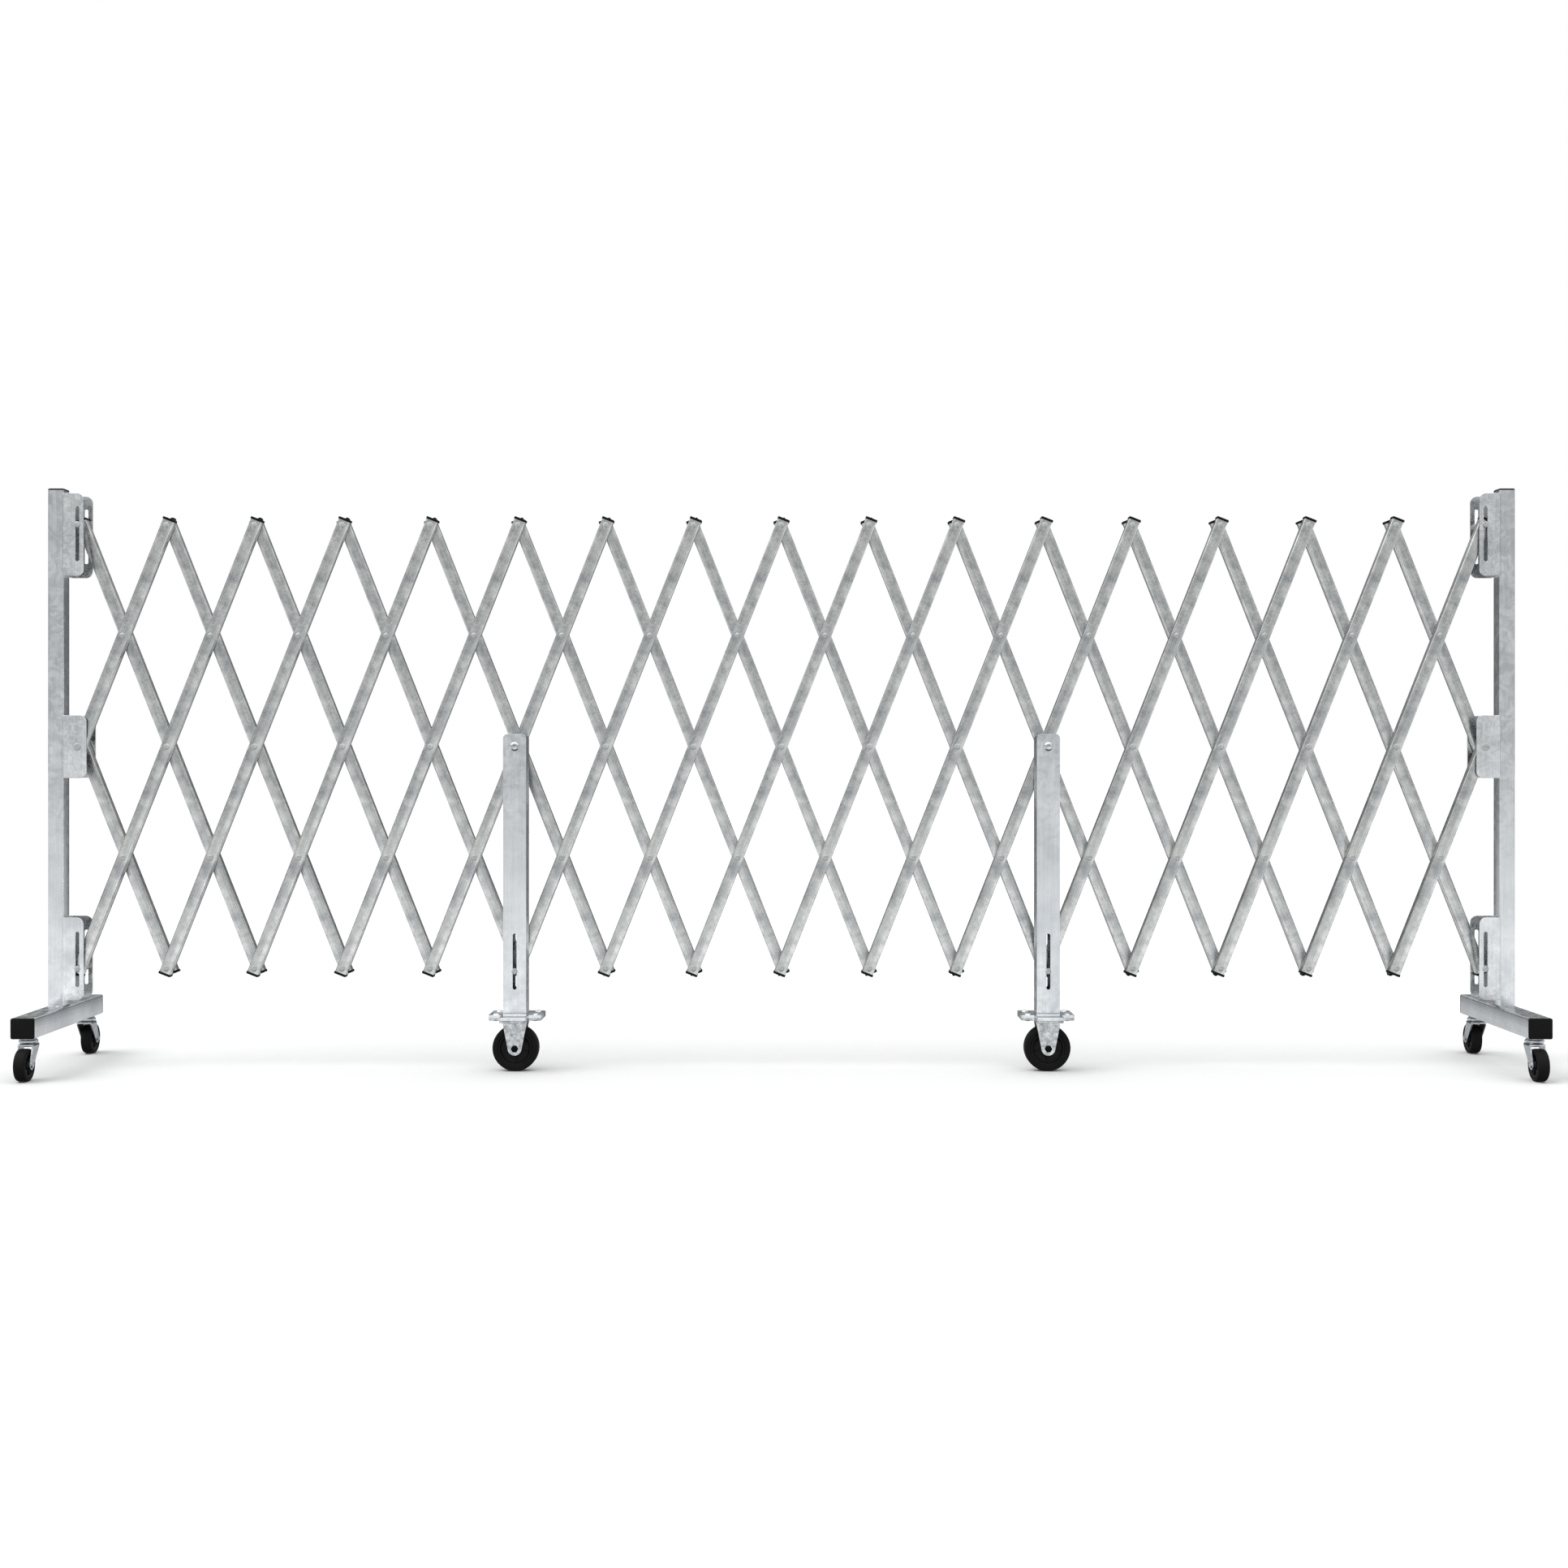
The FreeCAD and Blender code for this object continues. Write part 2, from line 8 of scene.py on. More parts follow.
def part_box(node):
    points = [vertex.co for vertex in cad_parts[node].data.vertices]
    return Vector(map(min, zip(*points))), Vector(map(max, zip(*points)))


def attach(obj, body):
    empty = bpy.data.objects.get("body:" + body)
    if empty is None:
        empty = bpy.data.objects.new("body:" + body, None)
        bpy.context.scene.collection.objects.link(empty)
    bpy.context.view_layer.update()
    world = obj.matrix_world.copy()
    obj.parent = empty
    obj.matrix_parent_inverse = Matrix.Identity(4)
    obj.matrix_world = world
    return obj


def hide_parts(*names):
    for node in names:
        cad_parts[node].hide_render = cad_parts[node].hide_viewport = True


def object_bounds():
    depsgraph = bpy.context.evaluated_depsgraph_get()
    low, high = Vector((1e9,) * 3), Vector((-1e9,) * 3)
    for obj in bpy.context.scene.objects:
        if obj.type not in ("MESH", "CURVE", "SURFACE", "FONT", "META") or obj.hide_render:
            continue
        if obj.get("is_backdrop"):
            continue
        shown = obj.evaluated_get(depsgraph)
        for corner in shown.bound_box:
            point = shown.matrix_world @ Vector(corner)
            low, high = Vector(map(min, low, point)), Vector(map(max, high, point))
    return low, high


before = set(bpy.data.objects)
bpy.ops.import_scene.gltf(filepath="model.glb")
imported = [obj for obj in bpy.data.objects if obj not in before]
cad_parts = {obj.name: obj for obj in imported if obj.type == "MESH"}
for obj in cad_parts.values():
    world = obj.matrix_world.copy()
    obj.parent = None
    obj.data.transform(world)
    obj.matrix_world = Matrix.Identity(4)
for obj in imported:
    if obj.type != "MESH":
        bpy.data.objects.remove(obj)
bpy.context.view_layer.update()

# ==== Slat tubes ====
# Thirty-four thin-walled aluminium tubes, 20 by 18 mm, extruded and left in their satin mill finish.
# Front slats lean right and rear slats lean left; each is riveted to the slats that it crosses.
CELLS = 16
PIVOT_STEP = 0.209
LEAN = math.radians(21.6)
tallest_low, tallest_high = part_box("slat_front_08")
MIDDLE_HEIGHT = (tallest_low.z + tallest_high.z) / 2
COLUMN_PITCH = 2 * PIVOT_STEP * math.sin(LEAN)
SLAT_WIDE, SLAT_DEEP, SLAT_CORNER = 0.020, 0.018, 0.0016
SLAT_TAIL = 0.0125
SLAT_CAP, CAP_LIP = 0.0042, 0.0009      # a cap shows this thick, and stands this far past the tube
LAYER_GAP = 0.001
MILL_LIGHT, MILL_DARK = "#D3D4D1", "#9FA2A4"
GRAIN_MM, BLOTCH_MM = 1.6, 24.0      # die lines are finer than 0.1 mm, drawn coarser so that they show


def linear(colour):
    """An sRGB hex colour as linear red, green, blue and alpha."""
    parts = [int(colour[i:i + 2], 16) / 255 for i in (1, 3, 5)]
    return [p / 12.92 if p <= 0.04045 else ((p + 0.055) / 1.055) ** 2.4 for p in parts] + [1.0]


def add(tree, kind, settings=(), links=()):
    """A node of any kind with its settings and links, both as (name or number, value) pairs."""
    made = tree.nodes.new(kind)
    for key, value in settings:
        if isinstance(key, int) or key in made.inputs:
            made.inputs[key].default_value = value
        else:
            setattr(made, key, value)
    for key, source in links:
        tree.links.new(source, made.inputs[key])
    return made


def new_material(name):
    """An empty material and its node tree."""
    material = bpy.data.materials.new(name)
    material.use_nodes = True
    material.node_tree.nodes.clear()
    return material, material.node_tree


def satin_metal(name, light, dark, grain_mm, blotch_mm, rough, lines_along=(1, 1, 0.012), bump=0.05):
    """A satin metal: fine lines from the die, roll or press, over a cloudy haze that dulls it in patches."""
    material, tree = new_material(name)
    place = add(tree, "ShaderNodeTexCoord").outputs["Object"]
    per_metre = 1000.0 / grain_mm
    stretched = add(
        tree, "ShaderNodeMapping", [("Scale", [per_metre * a for a in lines_along])], [("Vector", place)]
    )
    lines = add(
        tree, "ShaderNodeTexNoise", [("Scale", 1.0), ("Detail", 3.0), ("Roughness", 0.6)],
        [("Vector", stretched.outputs["Vector"])],
    )
    clouds = add(
        tree, "ShaderNodeTexNoise", [("Scale", 1000.0 / blotch_mm), ("Detail", 4.0), ("Roughness", 0.55)],
        [("Vector", place)],
    )
    scuffs = add(
        tree, "ShaderNodeTexNoise", [("Scale", 4500.0 / blotch_mm), ("Detail", 2.0), ("Distortion", 1.2)],
        [("Vector", place)],
    )
    mixed = add(
        tree, "ShaderNodeMath", [("operation", "MULTIPLY_ADD"), (1, 0.55)],
        [(0, lines.outputs["Fac"]), (2, clouds.outputs["Fac"])],
    )
    shade = add(
        tree, "ShaderNodeMapRange", [("From Min", 0.58), ("From Max", 0.97)], [("Value", mixed.outputs[0])]
    )
    colour = add(
        tree, "ShaderNodeMix", [("data_type", "RGBA"), (6, linear(dark)), (7, linear(light))],
        [(0, shade.outputs["Result"])],
    )
    dulled = add(
        tree, "ShaderNodeMapRange",
        [("From Min", 0.35), ("From Max", 0.65), ("To Min", rough - 0.06), ("To Max", rough + 0.1)],
        [("Value", scuffs.outputs["Fac"])],
    )
    raised = add(
        tree, "ShaderNodeBump", [("Strength", bump), ("Distance", 0.0004)], [("Height", lines.outputs["Fac"])]
    )
    shader = add(
        tree, "ShaderNodeBsdfPrincipled", [("Metallic", 1.0)],
        [
            ("Base Color", colour.outputs[2]),
            ("Roughness", dulled.outputs["Result"]),
            ("Normal", raised.outputs["Normal"]),
        ],
    )
    add(tree, "ShaderNodeOutputMaterial", [], [("Surface", shader.outputs["BSDF"])])
    return material


def rounded_outline(x0, x1, y0, y1, radii, steps=5):
    """A rectangle's outline, anticlockwise from its low corner, with a radius for each corner."""
    points = []
    corners = [(x0, y0, 1, 1, 180), (x1, y0, -1, 1, 270), (x1, y1, -1, -1, 0), (x0, y1, 1, -1, 90)]
    for (x, y, sx, sy, start), radius in zip(corners, radii):
        cx, cy = x + sx * radius, y + sy * radius
        count = steps if radius > 0 else 0
        for n in range(count + 1):
            angle = math.radians(start + (90 * n / steps if count else 0))
            points.append((cx + radius * math.cos(angle), cy + radius * math.sin(angle)))
    return points


def prism(rings):
    """A closed mesh through rings of points, each ring a list of Vectors of the same length."""
    made = bmesh.new()
    rows = [[made.verts.new(p) for p in ring] for ring in rings]
    count = len(rows[0])
    for low, high in zip(rows, rows[1:]):
        for n in range(count):
            made.faces.new((low[n], low[(n + 1) % count], high[(n + 1) % count], high[n]))
    made.faces.new(list(reversed(rows[0])))
    made.faces.new(rows[-1])
    bmesh.ops.recalc_face_normals(made, faces=made.faces)
    return made


def piece(name, made, material, body, at=Matrix.Identity(4), instead_of=(), crease=35):
    """A finished piece from a bmesh or a mesh, smooth except over creases, riding on its body."""
    if isinstance(made, bmesh.types.BMesh):
        mesh = bpy.data.meshes.new(name)
        made.to_mesh(mesh)
        made.free()
    else:
        mesh = made
    mesh.name = name
    mesh.materials.clear()
    mesh.materials.append(material)
    mesh.polygons.foreach_set("use_smooth", [True] * len(mesh.polygons))
    mesh.set_sharp_from_angle(angle=math.radians(crease))
    thing = bpy.data.objects.new(name, mesh)
    bpy.context.scene.collection.objects.link(thing)
    thing.matrix_world = at
    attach(thing, body)
    if instead_of:
        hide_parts(*instead_of)
    return thing


def slat_pivots(row, n):
    """The pivots that slat n has, from -2 at its bottom tip to 2 at its top tip."""
    if n == 0:
        return (0, 1, 2) if row == "front" else (-2, -1, 0)
    if n == CELLS:
        return (-2, -1, 0) if row == "front" else (0, 1, 2)
    return (-2, -1, 0, 1, 2)


def slat_place(row, n):
    """Where slat n stands and how it leans, its middle pivot on the lattice's middle line."""
    turn = LEAN if row == "front" else -LEAN
    middle = Matrix.Translation(((n - CELLS / 2) * COLUMN_PITCH, 0, MIDDLE_HEIGHT))
    return middle @ Matrix.Rotation(turn, 4, "Y")


# Bare extruded aluminium: a grey satin with streaks along the tube and dull clouds where it was handled.
mill_aluminium = satin_metal(
    "mill finish extruded aluminium", MILL_LIGHT, MILL_DARK, GRAIN_MM, BLOTCH_MM, 0.27
)
layer_middle = {"front": -(LAYER_GAP + SLAT_DEEP) / 2, "rear": (LAYER_GAP + SLAT_DEEP) / 2}
slats = [(row, n) for n in range(CELLS + 1) for row in ("front", "rear")]
for row, n in slats:
    pivots = slat_pivots(row, n)
    middle = layer_middle[row]
    section = rounded_outline(
        -SLAT_WIDE / 2, SLAT_WIDE / 2, middle - SLAT_DEEP / 2, middle + SLAT_DEEP / 2, [SLAT_CORNER] * 4, 3
    )
    low = pivots[0] * PIVOT_STEP - SLAT_TAIL + SLAT_CAP
    high = pivots[-1] * PIVOT_STEP + SLAT_TAIL - SLAT_CAP
    tube = prism([[Vector((x, y, z)) for x, y in section] for z in (low, high)])
    node = "slat_%s_%02d" % (row, n)
    piece(node + "_tube", tube, mill_aluminium, node, slat_place(row, n), [node], 50)

# ==== Slat end caps ====
# A low-gloss black polypropylene plug, moulded and pushed into each end of every slat. Its square flange
# covers the cut edge and stands a little past the tube, except on the side that passes the other row.
CAP_BLACK, CAP_GREY = "#060606", "#101011"
CAP_GRAIN_MM = 0.9
CAP_RIM, CAP_EDGE = 0.0009, 0.0003      # how far the outer and inner edges of the flange are rounded


def moulded_plastic(name, dark, light, grain_mm, rough):
    """A moulded plastic or rubber: an even near-black with the grain of the mould and a soft sheen."""
    material, tree = new_material(name)
    place = add(tree, "ShaderNodeTexCoord").outputs["Object"]
    grain = add(tree, "ShaderNodeTexVoronoi", [("Scale", 1000.0 / grain_mm)], [("Vector", place)])
    patches = add(tree, "ShaderNodeTexNoise", [("Scale", 60.0), ("Detail", 3.0)], [("Vector", place)])
    colour = add(
        tree, "ShaderNodeMix", [("data_type", "RGBA"), (6, linear(dark)), (7, linear(light))],
        [(0, patches.outputs["Fac"])],
    )
    dulled = add(
        tree, "ShaderNodeMapRange", [("To Min", rough - 0.08), ("To Max", rough + 0.1)],
        [("Value", patches.outputs["Fac"])],
    )
    raised = add(
        tree, "ShaderNodeBump", [("Strength", 0.15), ("Distance", 0.0002)],
        [("Height", grain.outputs["Distance"])],
    )
    shader = add(
        tree, "ShaderNodeBsdfPrincipled", [("IOR", 1.49), ("Specular IOR Level", 0.12)],
        [
            ("Base Color", colour.outputs[2]),
            ("Roughness", dulled.outputs["Result"]),
            ("Normal", raised.outputs["Normal"]),
        ],
    )
    add(tree, "ShaderNodeOutputMaterial", [], [("Surface", shader.outputs["BSDF"])])
    return material


# Spark-eroded moulds leave polypropylene a deep even black with only a dull sheen.
black_polypropylene = moulded_plastic("moulded black polypropylene", CAP_BLACK, CAP_GREY, CAP_GRAIN_MM, 0.6)
cap_rings = [
    (0.0002, SLAT_CAP), (0, SLAT_CAP - CAP_EDGE), (0, CAP_RIM), (CAP_EDGE, CAP_EDGE), (CAP_RIM, 0)
]      # inset from the flange's outline, and depth behind its end face
for row, n in slats:
    pivots = slat_pivots(row, n)
    middle = layer_middle[row]
    front_lip, rear_lip = (CAP_LIP, 0) if row == "front" else (0, CAP_LIP)
    both = bmesh.new()
    for end, pivot in ((-1, pivots[0]), (1, pivots[-1])):
        outer = pivot * PIVOT_STEP + end * SLAT_TAIL
        rings = []
        for inset, depth in cap_rings:
            outline = rounded_outline(
                -SLAT_WIDE / 2 - CAP_LIP + inset, SLAT_WIDE / 2 + CAP_LIP - inset,
                middle - SLAT_DEEP / 2 - front_lip + inset, middle + SLAT_DEEP / 2 + rear_lip - inset,
                [SLAT_CORNER] * 4, 3,
            )
            rings.append([Vector((x, y, outer - end * depth)) for x, y in outline])
        cap = prism(rings)
        mesh = bpy.data.meshes.new("cap")
        cap.to_mesh(mesh)
        cap.free()
        both.from_mesh(mesh)
        bpy.data.meshes.remove(mesh)
    node = "slat_%s_%02d" % (row, n)
    piece(node + "_caps", both, black_polypropylene, node, slat_place(row, n))

# ==== Rivets and slot pins ====
# Each crossing turns on an aluminium rivet with a button head in front and behind. The slats that end in a
# bracket, and the tips behind the middle posts, carry a longer pin with spacer rings that runs in a slot.
PIN_R, HEAD_R, HEAD_HIGH = 0.003, 0.006, 0.0022
DOME_R, DOME_HIGH = 0.0052, 0.0008      # a set head is smaller and flatter than the room left for it
FACES = 0.0003      # clearance between faces that slide
SHEET, FLANGE_PLAY = 0.0025, 0.0013      # bracket sheet, and the room inside it past a head
LAYER_NEAR, LAYER_FAR = LAYER_GAP / 2, LAYER_GAP / 2 + SLAT_DEEP
FLANGE_IN = LAYER_FAR + HEAD_HIGH + FACES + FLANGE_PLAY
FLANGE_OUT = FLANGE_IN + SHEET
PROP_BACK, PROP_DEEP = -FLANGE_IN, 0.040
PROP_FRONT = PROP_BACK - PROP_DEEP
PROP_COLUMNS = {"left": 5, "right": 11}
RIVET_LIGHT, RIVET_DARK = "#C9CBC9", "#A0A3A4"

# A head's section, as shares of its radius and height.
button = [(0, 1), (0.35, 0.98), (0.62, 0.86), (0.84, 0.58), (0.96, 0.26), (1, 0.06)]
front_pin = [
    ("head", -FLANGE_OUT - FACES, -1), ("rod", -FLANGE_OUT - FACES, -FLANGE_IN + FACES, PIN_R),
    ("rod", -FLANGE_IN + FACES, -LAYER_FAR, HEAD_R), ("rod", -LAYER_NEAR, FLANGE_IN - FACES, HEAD_R),
    ("rod", FLANGE_IN - FACES, FLANGE_OUT + FACES, PIN_R), ("head", FLANGE_OUT + FACES, 1),
]
rear_pin = [
    ("head", -a[1], -a[2]) if a[0] == "head" else ("rod", -a[2], -a[1], a[3]) for a in front_pin
]
plain_rivet = [
    ("head", -LAYER_FAR, -1), ("rod", -LAYER_NEAR, LAYER_NEAR, PIN_R), ("head", LAYER_FAR + FACES, 1)
]
prop_pin = [
    ("head", PROP_FRONT - FACES, -1), ("rod", PROP_FRONT - FACES, PROP_BACK + FACES, PIN_R),
    ("rod", PROP_BACK + FACES, -LAYER_FAR, HEAD_R), ("head", LAYER_FAR + FACES, 1),
]


def turned(made, outline, at, axis="y", segments=28):
    """Adds a turned solid to a bmesh, from (radius, distance along) points, about an axis through a point."""
    rows = []
    for radius, along in outline:
        row = []
        for n in range(segments if radius > 1e-7 else 1):
            angle = 2 * math.pi * n / segments
            a, b = radius * math.cos(angle), radius * math.sin(angle)
            offset = {"x": (along, a, b), "y": (a, along, b), "z": (a, b, along)}[axis]
            row.append(made.verts.new(Vector(at) + Vector(offset)))
        rows.append(row)
    new_faces = []
    for low, high in zip(rows, rows[1:]):
        for n in range(segments):
            after = (n + 1) % segments
            if len(low) == 1 and len(high) == 1:
                break
            if len(low) == 1:
                new_faces.append(made.faces.new((low[0], high[after], high[n])))
            elif len(high) == 1:
                new_faces.append(made.faces.new((low[n], low[after], high[0])))
            else:
                new_faces.append(made.faces.new((low[n], low[after], high[after], high[n])))
    bmesh.ops.recalc_face_normals(made, faces=new_faces)


def pin_parts(made, parts, height, head_r=DOME_R, head_high=DOME_HIGH, x=0.0):
    """Adds a pin's heads and rods, which lie along Y, at a height on its slat."""
    for part in parts:
        if part[0] == "head":
            base, way = part[1], part[2]
            dome = [(r * head_r, base + way * h * head_high) for r, h in reversed(button)]
            turned(made, [(0, base), (head_r, base)] + dome, (x, 0, height))
        else:
            start, end, radius = part[1:]
            turned(made, [(0, start), (radius, start), (radius, end), (0, end)], (x, 0, height))


# Cold-formed aluminium: the punch leaves the head smooth and as grey as the slat that it closes on.
rivet_aluminium = satin_metal(
    "cold headed aluminium", RIVET_LIGHT, RIVET_DARK, 0.8, 5.0, 0.58, (1, 1, 1), 0.03
)
for row, n in slats:
    pins = bmesh.new()
    side = -1 if row == "front" else 1
    for k in slat_pivots(row, n):
        partner, column = n - side * k, n - side * k / 2
        if k == 0 and (n in (0, CELLS) or n in PROP_COLUMNS.values()):
            continue
        if not 0 <= partner <= CELLS:
            pin_parts(pins, front_pin if row == "front" else rear_pin, k * PIVOT_STEP)
        elif row == "front":
            behind_prop = k == -2 and column in PROP_COLUMNS.values()
            pin_parts(pins, prop_pin if behind_prop else plain_rivet, k * PIVOT_STEP)
    if len(pins.verts):
        node = "slat_%s_%02d" % (row, n)
        piece(node + "_rivets", pins, rivet_aluminium, node, slat_place(row, n))

# ==== Brackets ====
# Three aluminium sheet brackets on each end post, cut flat, folded to a C and welded by the web. The top and
# bottom ones guide a slat's end pin in slots in their flanges; the middle one holds the half slats' pivot.
BEND, CORNER = 0.003, 0.012
PAST_SLOT, INSIDE_SLOT = 0.023, 0.025      # sheet beyond each end of a slot
MIDDLE_TALL = 0.110
PAST_PINS, MIDDLE_PAST_PINS = 0.011, 0.016
SHEET_CREASE = 20      # degrees: a bend runs smooth and a cut edge stays crisp
SLOT_R, SLOT_PLAY = 0.0033, 0.0005
MIDDLE_PIN_HEAD_R = 0.007
SHEET_LIGHT, SHEET_DARK = "#E6E8E9", "#C6C9CB"
LEAN_SHUT, LEAN_WIDE = math.radians(4.0), math.radians(38.5)
SLOT_FAR = 2 * PIVOT_STEP * math.cos(LEAN_SHUT) + PIN_R + SLOT_PLAY
SLOT_NEAR = 2 * PIVOT_STEP * math.cos(LEAN_WIDE) - PIN_R - SLOT_PLAY
PINS_X = CELLS / 2 * COLUMN_PITCH
POST_TO_PINS = 0.027


def circle_outline(x, y, radius, count=24):
    """A circle, clockwise, as a hole's outline runs."""
    return [
        (x + radius * math.cos(2 * math.pi * n / count), y - radius * math.sin(2 * math.pi * n / count))
        for n in range(count)
    ]


def slot_outline(x, y0, y1, radius, steps=10):
    """A slot with round ends, clockwise, as a hole's outline runs."""
    points = []
    for centre, start in ((y1 - radius, 180), (y0 + radius, 0)):
        for n in range(steps + 1):
            angle = math.radians(start - 180 * n / steps)
            points.append((x + radius * math.cos(angle), centre + radius * math.sin(angle)))
    return points


def cut_sheet(outlines, thick, soften):
    """A flat sheet about Z = 0 with its edges broken: the first outline is its edge, the rest are holes."""
    curve = bpy.data.curves.new("sheet", "CURVE")
    curve.dimensions, curve.fill_mode = "2D", "BOTH"
    curve.extrude, curve.bevel_depth, curve.bevel_resolution = thick / 2 - soften, soften, 1
    curve.offset = -soften
    for outline in outlines:
        spline = curve.splines.new("POLY")
        spline.points.add(len(outline) - 1)
        for point, (x, y) in zip(spline.points, outline):
            point.co = (x, y, 0, 1)
        spline.use_cyclic_u = True
    holder = bpy.data.objects.new("sheet", curve)
    mesh = bpy.data.meshes.new_from_object(holder)
    bpy.data.objects.remove(holder)
    bpy.data.curves.remove(curve)
    made = bmesh.new()
    made.from_mesh(mesh)
    bpy.data.meshes.remove(mesh)
    bmesh.ops.remove_doubles(made, verts=made.verts, dist=1e-6)
    return made


def mirrored(made, axis=(1, 0, 0)):
    """The same mesh for the other hand."""
    bmesh.ops.transform(made, matrix=Matrix.Scale(-1, 4, Vector(axis)), verts=made.verts)
    bmesh.ops.reverse_faces(made, faces=made.faces)
    return made


def folded_bracket(z0, z1, past_pins, corner, holes):
    """The left end's C bracket: a cut sheet, scored at its two bends and folded round them."""
    web_x, tip_x = -PINS_X - POST_TO_PINS, -PINS_X + past_pins
    middle_r = BEND - SHEET / 2
    web_half, arc = FLANGE_OUT - BEND, math.pi / 2 * middle_r
    half = web_half + arc + (tip_x - web_x - BEND)
    pin_s = web_half + arc + (-PINS_X - web_x - BEND)
    outlines = [rounded_outline(-half, half, z0, z1, [corner] * 4, 8)]
    for way in (-1, 1):
        for low, high, radius in holes:
            outlines.append(slot_outline(way * pin_s, low, high, radius))
    made = cut_sheet(outlines, SHEET, 0.0004)
    cuts = [way * (web_half + arc * n / 6) for way in (-1, 1) for n in range(7)]
    for cut in cuts:
        geometry = list(made.verts) + list(made.edges) + list(made.faces)
        bmesh.ops.bisect_plane(made, geom=geometry, plane_co=(cut, 0, 0), plane_no=(1, 0, 0), dist=1e-7)
    for vert in made.verts:
        s, z, deep = vert.co
        way, run = (-1 if s < 0 else 1), abs(s)
        if run <= web_half:
            vert.co = (web_x + SHEET / 2 + deep, s, z)
        elif run <= web_half + arc:
            angle = (run - web_half) / middle_r
            reach = middle_r - deep
            vert.co = (web_x + BEND - reach * math.cos(angle), way * (web_half + reach * math.sin(angle)), z)
        else:
            vert.co = (web_x + BEND + run - web_half - arc, way * (web_half + middle_r - deep), z)
    bmesh.ops.recalc_face_normals(made, faces=made.faces)
    return made


# Rolled sheet: brighter and smoother than an extrusion, with a faint upright grain.
rolled_aluminium = satin_metal("rolled aluminium sheet", SHEET_LIGHT, SHEET_DARK, 1.2, 40.0, 0.24)
slot_low, slot_high = MIDDLE_HEIGHT - SLOT_FAR, MIDDLE_HEIGHT - SLOT_NEAR
top_slot_low, top_slot_high = MIDDLE_HEIGHT + SLOT_NEAR, MIDDLE_HEIGHT + SLOT_FAR
bracket_sizes = {
    "top_bracket": (
        top_slot_low - INSIDE_SLOT, top_slot_high + PAST_SLOT, PAST_PINS, CORNER,
        [(top_slot_low, top_slot_high, SLOT_R)],
    ),
    "middle_bracket": (
        MIDDLE_HEIGHT - MIDDLE_TALL / 2, MIDDLE_HEIGHT + MIDDLE_TALL / 2, MIDDLE_PAST_PINS, CORNER, []
    ),
    "bottom_bracket": (
        slot_low - PAST_SLOT, slot_high + INSIDE_SLOT, PAST_PINS, CORNER, [(slot_low, slot_high, SLOT_R)]
    ),
}
for side in ("left", "right"):
    for name, sizes in bracket_sizes.items():
        made = folded_bracket(*sizes)
        if side == "right":
            mirrored(made)
        piece(
            side + "_" + name, made, rolled_aluminium, side + "_end",
            instead_of=[side + "_brackets"] if name == "top_bracket" else (), crease=SHEET_CREASE,
        )
    pins = bmesh.new()
    parts = [
        ("head", -FLANGE_OUT, -1), ("rod", -FLANGE_IN, -LAYER_FAR - FACES, HEAD_R),
        ("rod", -LAYER_NEAR, LAYER_NEAR, PIN_R), ("rod", LAYER_FAR + FACES, FLANGE_IN, HEAD_R),
        ("head", FLANGE_OUT, 1),
    ]
    x = PINS_X if side == "right" else -PINS_X
    pin_parts(pins, parts, MIDDLE_HEIGHT, MIDDLE_PIN_HEAD_R, DOME_HIGH, x)
    piece(side + "_middle_pin", pins, rivet_aluminium, side + "_end")

# ==== End posts ====
# A 28 by 30 mm aluminium tube at each end, satin anodised so that hands leave no marks, welded to its foot.
# The anodising keeps faint upright die lines and a cool, even grey.
POST_CORNER, POST_WALL = 0.0022, 0.002
POST_LIGHT, POST_DARK = "#DDE0E2", "#C4C8CB"


def open_tube(low, high, axis, corner, wall, steps=4):
    """A rounded rectangular tube that fills a box, open at both ends along an axis."""
    order = {"x": (1, 2, 0), "y": (0, 2, 1), "z": (0, 1, 2)}[axis]
    made = bmesh.new()
    rings = []
    for inset, along in ((0, low), (0, high), (wall, high), (wall, low)):
        a, b, c = order
        outline = rounded_outline(
            low[a] + inset, high[a] - inset, low[b] + inset, high[b] - inset,
            [corner if inset == 0 else corner * 0.4] * 4, steps,
        )
        ring = []
        for u, v in outline:
            point = [0, 0, 0]
            point[a], point[b], point[c] = u, v, along[c]
            ring.append(made.verts.new(point))
        rings.append(ring)
    count = len(rings[0])
    for one, two in zip(rings, rings[1:] + rings[:1]):
        for n in range(count):
            made.faces.new((one[n], one[(n + 1) % count], two[(n + 1) % count], two[n]))
    bmesh.ops.recalc_face_normals(made, faces=made.faces)
    return made


# Etched and anodised: an even, cool silver with only a trace of the die lines, which run up the post.
anodised_aluminium = satin_metal("satin anodised aluminium", POST_LIGHT, POST_DARK, 1.4, 90.0, 0.22)
for side in ("left", "right"):
    low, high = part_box(side + "_post")
    tube = open_tube(low, high, "z", POST_CORNER, POST_WALL)
    piece(
        side + "_post_tube", tube, anodised_aluminium, side + "_end",
        instead_of=[side + "_post"],
    )

# ==== Feet ====
# A 40 by 35 mm aluminium tube lying front to back under each end post, anodised like the post, with its die
# lines running along it. A small fillet weld runs round the post where the two meet.
FOOT_CORNER = 0.003
WELD_LEG = 0.0018
WELD_LIGHT, WELD_DARK = "#A6A9AB", "#6E7173"
# The same finish as the post, with its die lines lying front to back.
foot_aluminium = satin_metal(
    "satin anodised aluminium lying down", POST_LIGHT, POST_DARK, 1.4, 90.0, 0.22, (1, 0.012, 1)
)
